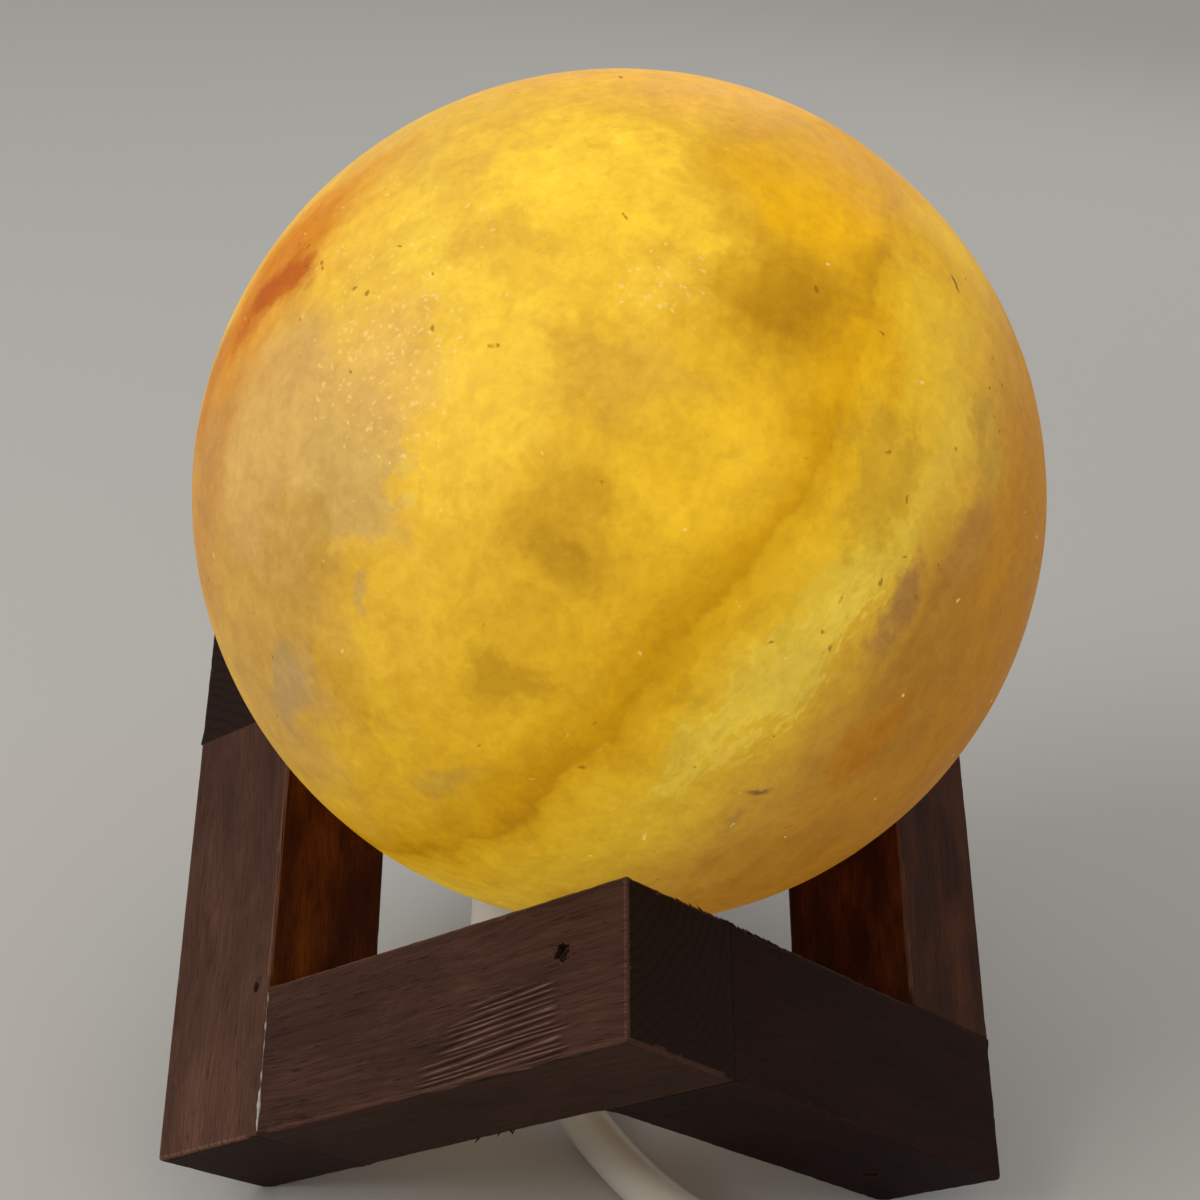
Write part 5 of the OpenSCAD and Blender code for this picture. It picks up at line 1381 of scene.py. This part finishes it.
def carving_tree():
    """Geometry nodes that rub facets and pits into the ball, always inwards."""
    sizes = ("Facet depth", "Facet size", "Pit depth", "Pit size", "Flat height", "Bore radius")
    tree, given = geometry_tree("hand_carving", {**dict.fromkeys(sizes, "Float"), "Seed": "Int"})
    place = add(tree, "GeometryNodeInputPosition")[0]
    normal = add(tree, "GeometryNodeInputNormal")[0]
    shift = add(tree, "ShaderNodeCombineXYZ", {0: given["Seed"], 1: given["Seed"], 2: 0.37})[0]

    def waves(long, offset):
        scale = add(tree, "ShaderNodeMath", {0: 1.0, 1: long}, operation="DIVIDE")[0]
        at = add(tree, "ShaderNodeVectorMath", {0: place, "Scale": scale}, operation="SCALE")[0]
        at = add(tree, "ShaderNodeVectorMath", {0: at, 1: shift}, operation="ADD")[0]
        return add(tree, "ShaderNodeVectorMath", {0: at, 1: (offset, 0, 0)}, operation="ADD")[0]

    facet = add(tree, "ShaderNodeTexNoise", {"Vector": waves(given["Facet size"], 0), "Scale": 1.0,
                                             "Detail": 2.0})[0]
    facet = add(tree, "ShaderNodeMath", {0: facet, 1: given["Facet depth"]}, operation="MULTIPLY")[0]
    pits = add(tree, "ShaderNodeTexNoise", {"Vector": waves(given["Pit size"], 9), "Scale": 1.0,
                                            "Detail": 3.0, "Roughness": 0.6})[0]
    pits = add(tree, "ShaderNodeMapRange", {"Value": pits, "From Min": 0.62, "From Max": 0.8})[0]
    pits = add(tree, "ShaderNodeMath", {0: pits, 1: given["Pit depth"]}, operation="MULTIPLY")[0]
    depth = add(tree, "ShaderNodeMath", {0: facet, 1: pits}, operation="ADD")[0]
    depth = add(tree, "ShaderNodeMath", {0: depth, 1: -1.0}, operation="MULTIPLY")[0]
    push = add(tree, "ShaderNodeVectorMath", {0: normal, "Scale": depth}, operation="SCALE")[0]
    x, y, z = add(tree, "ShaderNodeSeparateXYZ", {0: place})
    outside = add(tree, "FunctionNodeCompare", {0: z, 1: given["Flat height"]},
                  data_type="FLOAT", operation="GREATER_THAN")[0]
    flat = add(tree, "ShaderNodeCombineXYZ", {0: x, 1: y})[0]
    reach = add(tree, "ShaderNodeVectorMath", {0: flat}, operation="LENGTH")["Value"]
    wide = add(tree, "FunctionNodeCompare", {0: reach, 1: given["Bore radius"]},
               data_type="FLOAT", operation="GREATER_THAN")[0]
    above = add(tree, "FunctionNodeCompare", {0: z, 1: BORE_END + 3 * MM},
                data_type="FLOAT", operation="GREATER_THAN")[0]
    ball = add(tree, "FunctionNodeBooleanMath", {0: wide, 1: above}, operation="OR")[0]
    ball = add(tree, "FunctionNodeBooleanMath", {0: ball, 1: outside}, operation="AND")[0]
    carved = add(tree, "GeometryNodeSetPosition", {"Geometry": given["Geometry"], "Selection": ball,
                                                   "Offset": push})[0]
    return closed_tree(tree, given, carved)


class LampGlobe(bpy.types.Operator):
    """Turns the salt globe with its ground flat and blind bore, and rubs its facets and pits"""
    bl_idname = "salt_lamp.globe"
    bl_label = "Salt globe"

    def execute(self, context):
        look = context.scene.lamp_globe
        seat = GLOBE_LOW.z
        bore = [(0, BORE_END), (BORE_R * 0.5, BORE_END), (BORE_R - 0.4 * MM, BORE_END),
                (BORE_R, BORE_END - 0.4 * MM)]
        bore += [(BORE_R, BORE_END + (seat - BORE_END) * k / 20) for k in range(1, 20)]
        bore += [(BORE_R, seat + BORE_CHAMFER), (BORE_R + BORE_CHAMFER, seat)]
        points, faces = revolve(bore + ball_profile(look, 172), 360)
        made = outward(piece("carved_salt_globe", points, faces, carved_rock_salt))
        shaped(made, carving_tree(), {
            "Facet depth": look.facet, "Facet size": FACET_SIZE, "Pit depth": look.pit,
            "Pit size": PIT_SIZE, "Flat height": seat + 0.5 * MM, "Bore radius": BORE_R + 1.5 * MM,
            "Seed": look.seed, "Material": finish_of(carved_rock_salt)})
        settle(smoothed(made, 40), "globe", "rock_salt", "salt_globe")
        return {"FINISHED"}


# Lamp holder


# The cap's screws: how far from the axis, how far round from the terminals, shank and head
SCREW_AT = 10 * MM
SCREW_SPREAD = math.radians(60)
SCREW_R = 1.5 * MM
SCREW_HEAD_R = 2.76 * MM
SCREW_HEAD_T = 1.9 * MM
TERMINAL_SCREW_R = 1.2 * MM
# The two cores: radius, and how far each lies off the lead's middle
WIRE_R = 1.1 * MM
WIRE_APART = 1.5 * MM
# Sheet of the socket's shell and of the bulb's cap
SOCKET_T = 0.25 * MM
BULB_CAP_T = 0.3 * MM
# The filament's fine coil: turns, radius, and the wire's radius
FILAMENT_TURNS = 52
FILAMENT_COIL_R = 0.24 * MM
FILAMENT_WIRE_R = 0.055 * MM


def boot_line():
    """The boot's line and radii: a flange inside the cap, a neck in its floor, and a ribbed taper."""
    flange_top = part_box("cord_boot")[1].z
    floor = EXIT_AT.z
    stations = [(flange_top, 4.6), (flange_top - 0.25 * MM, 5.0), (floor + 2.3 * MM, 5.0),
                (floor + 2.05 * MM, 4.25), (floor + 0.02 * MM, 4.25)]
    line = [Vector((EXIT_AT.x, EXIT_AT.y, z)) for z, r in stations]
    radii = [r * MM for z, r in stations]
    for i in range(BOOT_STEPS + 1):
        t = i / BOOT_STEPS
        base = BOOT_RADII[0] + (BOOT_RADII[1] - BOOT_RADII[0]) * t
        groove = 0.5 - 0.5 * math.cos(2 * math.pi * BOOT_RIBS * (t - 0.10) / 0.86) if 0.10 < t < 0.96 else 0
        line.append(boot_point(BOOT_TURN * t))
        radii.append(base - 0.55 * MM * min(1, groove * 1.5))
    # The taper's two ends are rounded off
    radii[len(stations)] -= 0.3 * MM
    radii[-1] -= 0.35 * MM
    return line, radii


class LampHolder(bpy.types.Operator):
    """Builds the holder that clips in the bore: cap, sleeve, core, clip, contacts, boot and screws"""
    bl_idname = "salt_lamp.holder"
    bl_label = "Lamp holder"

    def execute(self, context):
        look = context.scene.lamp_holder
        eased_pieces("holder",
                     ("holder_cap", moulded_polyester, "holder_plastic", look.ease * 2),
                     ("holder_sleeve", moulded_polyester, "holder_plastic", look.ease),
                     ("holder_core", glazed_steatite, "ceramic_core", look.ease),
                     ("spring_clip", spring_steel_strip, "spring_steel", look.ease / 3),
                     ("centre_contact", rolled_brass, "socket_brass", look.ease / 2),
                     ("terminal_blocks", rolled_brass, "socket_brass", look.ease))
        floor = EXIT_AT.z
        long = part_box("cap_screws")[1].z - floor
        places = [(round_z(SCREW_AT, a, floor), Vector((0, 0, 1))) for a in (SCREW_SPREAD, -SCREW_SPREAD)]
        model = slotted_screw(SCREW_HEAD_R, SCREW_HEAD_T, SCREW_R, long, zinc_plate)
        settle(fasteners("cap_screw_pair", model, places, zinc_plate), "holder", "zinc_plated_steel",
               "cap_screws")
        low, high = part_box("terminal_screws")
        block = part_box("terminal_blocks")[1].x
        head_r = (high.z - low.z) / 2
        places = [(Vector((block, side * (high.y - head_r), (low.z + high.z) / 2)), Vector((-1, 0, 0)))
                  for side in (1, -1)]
        model = slotted_screw(head_r, high.x - block, TERMINAL_SCREW_R, block - low.x, zinc_plate)
        settle(fasteners("terminal_screw_pair", model, places, zinc_plate), "holder",
               "zinc_plated_steel", "terminal_screws")
        line, radii = boot_line()
        settle(piece("lead_boot", *swept(line, radii, 40), rubbery_boot), "holder", "boot_plastic",
               "cord_boot")
        settle(self.cores(), "holder", "core_insulation", "lead_cores")
        self.socket(look)
        return {"FINISHED"}

    def cores(self):
        """The lead's two cores, from the boot up and over into the terminals."""
        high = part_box("lead_cores")[1]
        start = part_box("cord_boot")[1].z
        wire_z = high.z - WIRE_R
        far_y = high.y - WIRE_R
        parts = []
        for side, maker in ((1, brown_core), (-1, blue_core)):
            foot = Vector((EXIT_AT.x, EXIT_AT.y + side * WIRE_APART, start))
            end = Vector((high.x, side * far_y, wire_z))
            rise = foot + Vector((0.6 * MM, side * 0.3 * MM, 0.6 * (wire_z - start)))
            middle = Vector(((foot.x + end.x) / 2 - WIRE_APART, (foot.y + end.y) / 2, wire_z))
            line = smooth_line([foot, rise, middle, end - Vector((2 * MM, 0, 0)), end], 8)
            parts.append(piece("core", *swept(line, [WIRE_R] * len(line), 16), maker))
        return joined("insulated_cores", parts)

    def socket(self, look):
        """The thread shell: a flanged floor with a rolled thread that matches the bulb's."""
        low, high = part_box("screw_socket")
        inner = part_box("bulb_screw_cap")[1].x + 0.15 * MM
        shell = piece("shell", *threaded_shell(
            inner + SOCKET_T, look.thread_depth, SOCKET_T, look.thread_pitch, low.z + 0.3 * MM, high.z,
            (1.5 * MM, 1.2 * MM)), rolled_brass)
        base_r = inner - 1.6 * MM
        ring = [(base_r, low.z), (high.x - 0.1 * MM, low.z), (high.x, low.z + 0.1 * MM),
                (high.x, low.z + 0.4 * MM), (high.x - 0.1 * MM, low.z + 0.5 * MM),
                (base_r, low.z + 0.5 * MM), (base_r, low.z)]
        base = outward(piece("base", *revolve(ring, 72), rolled_brass))
        made = smoothed(joined("screw_socket_shell", [shell, base]), 40)
        settle(made, "holder", "socket_brass", "screw_socket")


class LampBulb(bpy.types.Operator):
    """Builds the small bulb: threaded cap, glass, stem, supports and glowing filament"""
    bl_idname = "salt_lamp.bulb"
    bl_label = "Bulb"

    def execute(self, context):
        look = context.scene.lamp_holder
        low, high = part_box("bulb_screw_cap")
        cap = piece("rolled_cap", *threaded_shell(
            high.x, look.thread_depth, BULB_CAP_T, look.thread_pitch, low.z, high.z, (0.6 * MM, 4.5 * MM),
            96), nickel_plate)
        cap.data.set_sharp_from_angle(angle=math.radians(40))
        settle(cap, "bulb", "bulb_cap_nickel", "bulb_screw_cap")
        settle(eased_copy("cap_glass_seal", "bulb_insulator", fused_black_glass, 0.15 * MM), "bulb",
               "black_glass", "bulb_insulator")
        settle(eased_copy("solder_tip", "bulb_tip", solder_bead, 0.1 * MM), "bulb_bead", "solder", "bulb_tip")
        for node, maker in (("bulb_glass", blown_glass), ("bulb_stem", blown_glass),
                            ("bulb_supports", nickel_wire)):
            for slot in frame["nodes"][node].material_slots:
                slot.material = finish_of(maker)
        low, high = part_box("bulb_filament")
        arc_r = (high.x - low.x) / 2 - 0.3 * MM
        steps = FILAMENT_TURNS * 10
        line = []
        for i in range(steps + 1):
            t = i / steps
            around = math.pi * t
            twist = 2 * math.pi * FILAMENT_TURNS * t
            out = Vector((math.cos(around), 0, math.sin(around)))
            line.append(out * (arc_r + FILAMENT_COIL_R * math.cos(twist))
                        + Vector((0, FILAMENT_COIL_R * math.sin(twist), low.z)))
        made = piece("coiled_filament", *swept(line, [FILAMENT_WIRE_R] * len(line), 6), glowing_tungsten)
        settle(made, "bulb", "tungsten", "bulb_filament")
        return {"FINISHED"}


# Switch and plug


# The rocker: how high its key stands over its pivot, and how far it tips at rest
ROCKER_T = 2.6 * MM
ROCKER_TILT = math.radians(8)
SWITCH_HEAD_T = 1.0 * MM


class LampSwitch(bpy.types.Operator):
    """Builds the inline switch: shells, rocker with its grip ribs, contacts and screws"""
    bl_idname = "salt_lamp.switch"
    bl_label = "Inline switch"

    def execute(self, context):
        eased_pieces("root",
                     ("switch_base", moulded_urea, "switch_plastic", 0.5 * MM),
                     ("switch_cover", moulded_urea, "switch_plastic", 0.35 * MM),
                     ("switch_contacts", rolled_brass, "socket_brass", 0.1 * MM))
        settle(self.rocker(), "rocker", "rocker_plastic", "switch_rocker")
        low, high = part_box("switch_screws")
        ends = [Vector((low.x + SCREW_HEAD_R, low.y + SCREW_HEAD_R, 0)),
                Vector((high.x - SCREW_HEAD_R, high.y - SCREW_HEAD_R, 0))]
        bearing = low.z + SWITCH_HEAD_T
        heading = switch_heading()
        middle = (ends[0] + ends[1]) / 2
        reach = abs(ends[1].x - ends[0].x) / 2 / abs(heading.x)
        places = [(middle + side * reach * heading + Vector((0, 0, bearing)), Vector((0, 0, 1)))
                  for side in (-1, 1)]
        model = slotted_screw(SCREW_HEAD_R, SWITCH_HEAD_T, SCREW_R, high.z - bearing, zinc_plate)
        settle(fasteners("switch_screw_pair", model, places, zinc_plate), "root", "zinc_plated_steel",
               "switch_screws")
        return {"FINISHED"}

    def rocker(self):
        """The rocker, with three low grip ribs across either end."""
        pivot = next(joint["pos_m"] for joint in frame["joints"] if joint["name"] == "switch_rocker")
        heading = switch_heading()
        to_table = (Matrix.Translation(pivot) @ Matrix.Rotation(math.atan2(heading.y, heading.x), 4, "Z")
                    @ Matrix.Rotation(-ROCKER_TILT, 4, "Y"))
        parts = [eased_copy("rocker_shell", "switch_rocker", moulded_rocker, 0.3 * MM, segments=3)]
        for along in (-5.8, -4.6, -3.4, 3.4, 4.6, 5.8):
            top = ROCKER_T + abs(along) * MM * math.tan(ROCKER_TILT) - 0.08 * MM
            line = [to_table @ Vector((along * MM, side * MM, top)) for side in (-3.2, -3.0, 3.0, 3.2)]
            bar = swept(line, [0.12 * MM, 0.3 * MM, 0.3 * MM, 0.12 * MM], 10)
            parts.append(piece("rocker_rib", *bar, moulded_rocker))
        return joined("rocker_key", parts)


def switch_heading():
    """Along the switch, from the lamp's end to the plug's."""
    before, last = (Vector(p) * MM for p in LEAD_ROUTE[-2:])
    return Vector(((last - before).x, (last - before).y, 0)).normalized()


class LampPlug(bpy.types.Operator):
    """Builds the flat plug, its strain relief, pins and sleeves, and the tie round the coil"""
    bl_idname = "salt_lamp.plug"
    bl_label = "Plug and coil tie"

    def execute(self, context):
        eased_pieces("root",
                     ("plug_body", rubbery_boot, "plug_plastic", 0.7 * MM),
                     ("plug_boot", rubbery_boot, "boot_plastic", 0.25 * MM),
                     ("plug_pins", nickel_plate, "pin_nickel", 0.05 * MM),
                     ("pin_sleeves", pin_sleeve_nylon, "sleeve_plastic", 0.08 * MM),
                     ("coil_tie", nylon_strap, "tie_plastic", 0.15 * MM))
        return {"FINISHED"}


# Stage


# The photograph's viewpoint, found by fitting a camera to the stand's corners and the globe's outline
CAMERA_AT = Vector((-24.20, -271.10, 212.83)) * MM
# Round the lamp, tipped up from straight down, and rolled, in degrees
CAMERA_TURN = (-4.782, 90 - 24.929, 4.516)
CAMERA_LENS = 61.63
FLOOR_HALF = 3.0
LAMPS_AIM_AT = Vector((0, 0, 0.08))


def pale_floor():
    """Plain pale floor, matt, that keeps the lamp's shadow."""
    return blank("pale_floor", Roughness=0.9, Base_Color=tuple(bpy.context.scene.lamp_stage.floor))[0]


class LampStage(bpy.types.Operator):
    """Sets the camera at the photograph's viewpoint, with a pale floor and soft studio light"""
    bl_idname = "salt_lamp.stage"
    bl_label = "Camera, floor and light"

    def execute(self, context):
        scene = context.scene
        look = scene.lamp_stage
        scene.view_settings.view_transform = "Standard"
        camera = placed("camera", bpy.data.cameras.new("camera"))
        camera.data.sensor_width = 36
        camera.data.lens = CAMERA_LENS
        camera.data.clip_start = 0.01
        around, tip, roll = [math.radians(a) for a in CAMERA_TURN]
        turned = (Euler((0, 0, around)).to_matrix() @ Euler((tip, 0, 0)).to_matrix()
                  @ Euler((0, 0, roll)).to_matrix())
        camera.matrix_world = Matrix.Translation(CAMERA_AT) @ turned.to_4x4()
        scene.camera = camera
        corners = [(x * FLOOR_HALF, y * FLOOR_HALF, 0) for x, y in ((-1, -1), (1, -1), (1, 1), (-1, 1))]
        piece("floor", corners, [[0, 1, 2, 3]], pale_floor, smooth=False)
        for name, place, power, wide in (("key", (-0.80, -0.40, 0.70), look.key, 0.5),
                                         ("rim", (0.35, 0.75, 0.6), look.key * 0.15, 0.6)):
            lamp = bpy.data.lights.new(name, "AREA")
            lamp.energy = power
            lamp.size = wide
            made = placed(name, lamp)
            made.location = place
            aim = LAMPS_AIM_AT - Vector(place)
            made.rotation_euler = aim.to_track_quat("-Z", "Y").to_euler()
        world = bpy.data.worlds.new("studio")
        world.use_nodes = True
        scene.world = world
        tree = world.node_tree
        fill = tree.nodes["Background"]
        fill.inputs["Color"].default_value = grey(1.0)
        fill.inputs["Strength"].default_value = look.sky
        seen = add(tree, "ShaderNodeBackground", {"Color": tuple(look.backdrop), "Strength": 1.0})[0]
        path = add(tree, "ShaderNodeLightPath")
        direct = add(tree, "ShaderNodeMath", {0: path["Is Camera Ray"], 1: path["Is Glossy Ray"]},
                     operation="MAXIMUM")[0]
        direct = add(tree, "ShaderNodeMath", {0: direct, 1: path["Is Transmission Ray"]},
                     operation="MAXIMUM")[0]
        mixed = add(tree, "ShaderNodeMixShader", {0: direct, 1: fill.outputs[0], 2: seen})[0]
        tree.links.new(mixed, tree.nodes["World Output"].inputs["Surface"])
        return {"FINISHED"}


class SALT_LAMP_PT_pieces(bpy.types.Panel):
    """Lists the lamp's sizes, colours and pieces"""
    bl_label = "Salt lamp"
    bl_space_type = "VIEW_3D"
    bl_region_type = "UI"
    bl_category = "Salt lamp"

    def draw(self, context):
        for group in LOOKS:
            box = self.layout.box()
            settings = getattr(context.scene, group)
            for name in settings.bl_rna.properties.keys():
                if name not in ("rna_type", "name"):
                    box.prop(settings, name)
        for operator in OPERATORS:
            self.layout.operator(operator.bl_idname)


LOOKS = {"lamp_stage": StageLook, "lamp_cord": CordLook, "lamp_stand": StandLook, "lamp_globe": GlobeLook,
         "lamp_holder": HolderLook}
OPERATORS = (LampStage, LampSwitch, LampPlug, LampCords, LampStand, LampSplinters, LampNails, LampGlue,
             LampGlobe, LampHolder, LampBulb)


def register():
    for made in (*LOOKS.values(), *OPERATORS, SALT_LAMP_PT_pieces):
        bpy.utils.register_class(made)
    for name, group in LOOKS.items():
        setattr(bpy.types.Scene, name, PointerProperty(type=group))


def unregister():
    for name in LOOKS:
        delattr(bpy.types.Scene, name)
    for made in reversed((*LOOKS.values(), *OPERATORS, SALT_LAMP_PT_pieces)):
        bpy.utils.unregister_class(made)


def main():
    register()
    for operator in OPERATORS:
        group, name = operator.bl_idname.split(".")
        getattr(getattr(bpy.ops, group), name)()


if __name__ == "__main__":
    main()
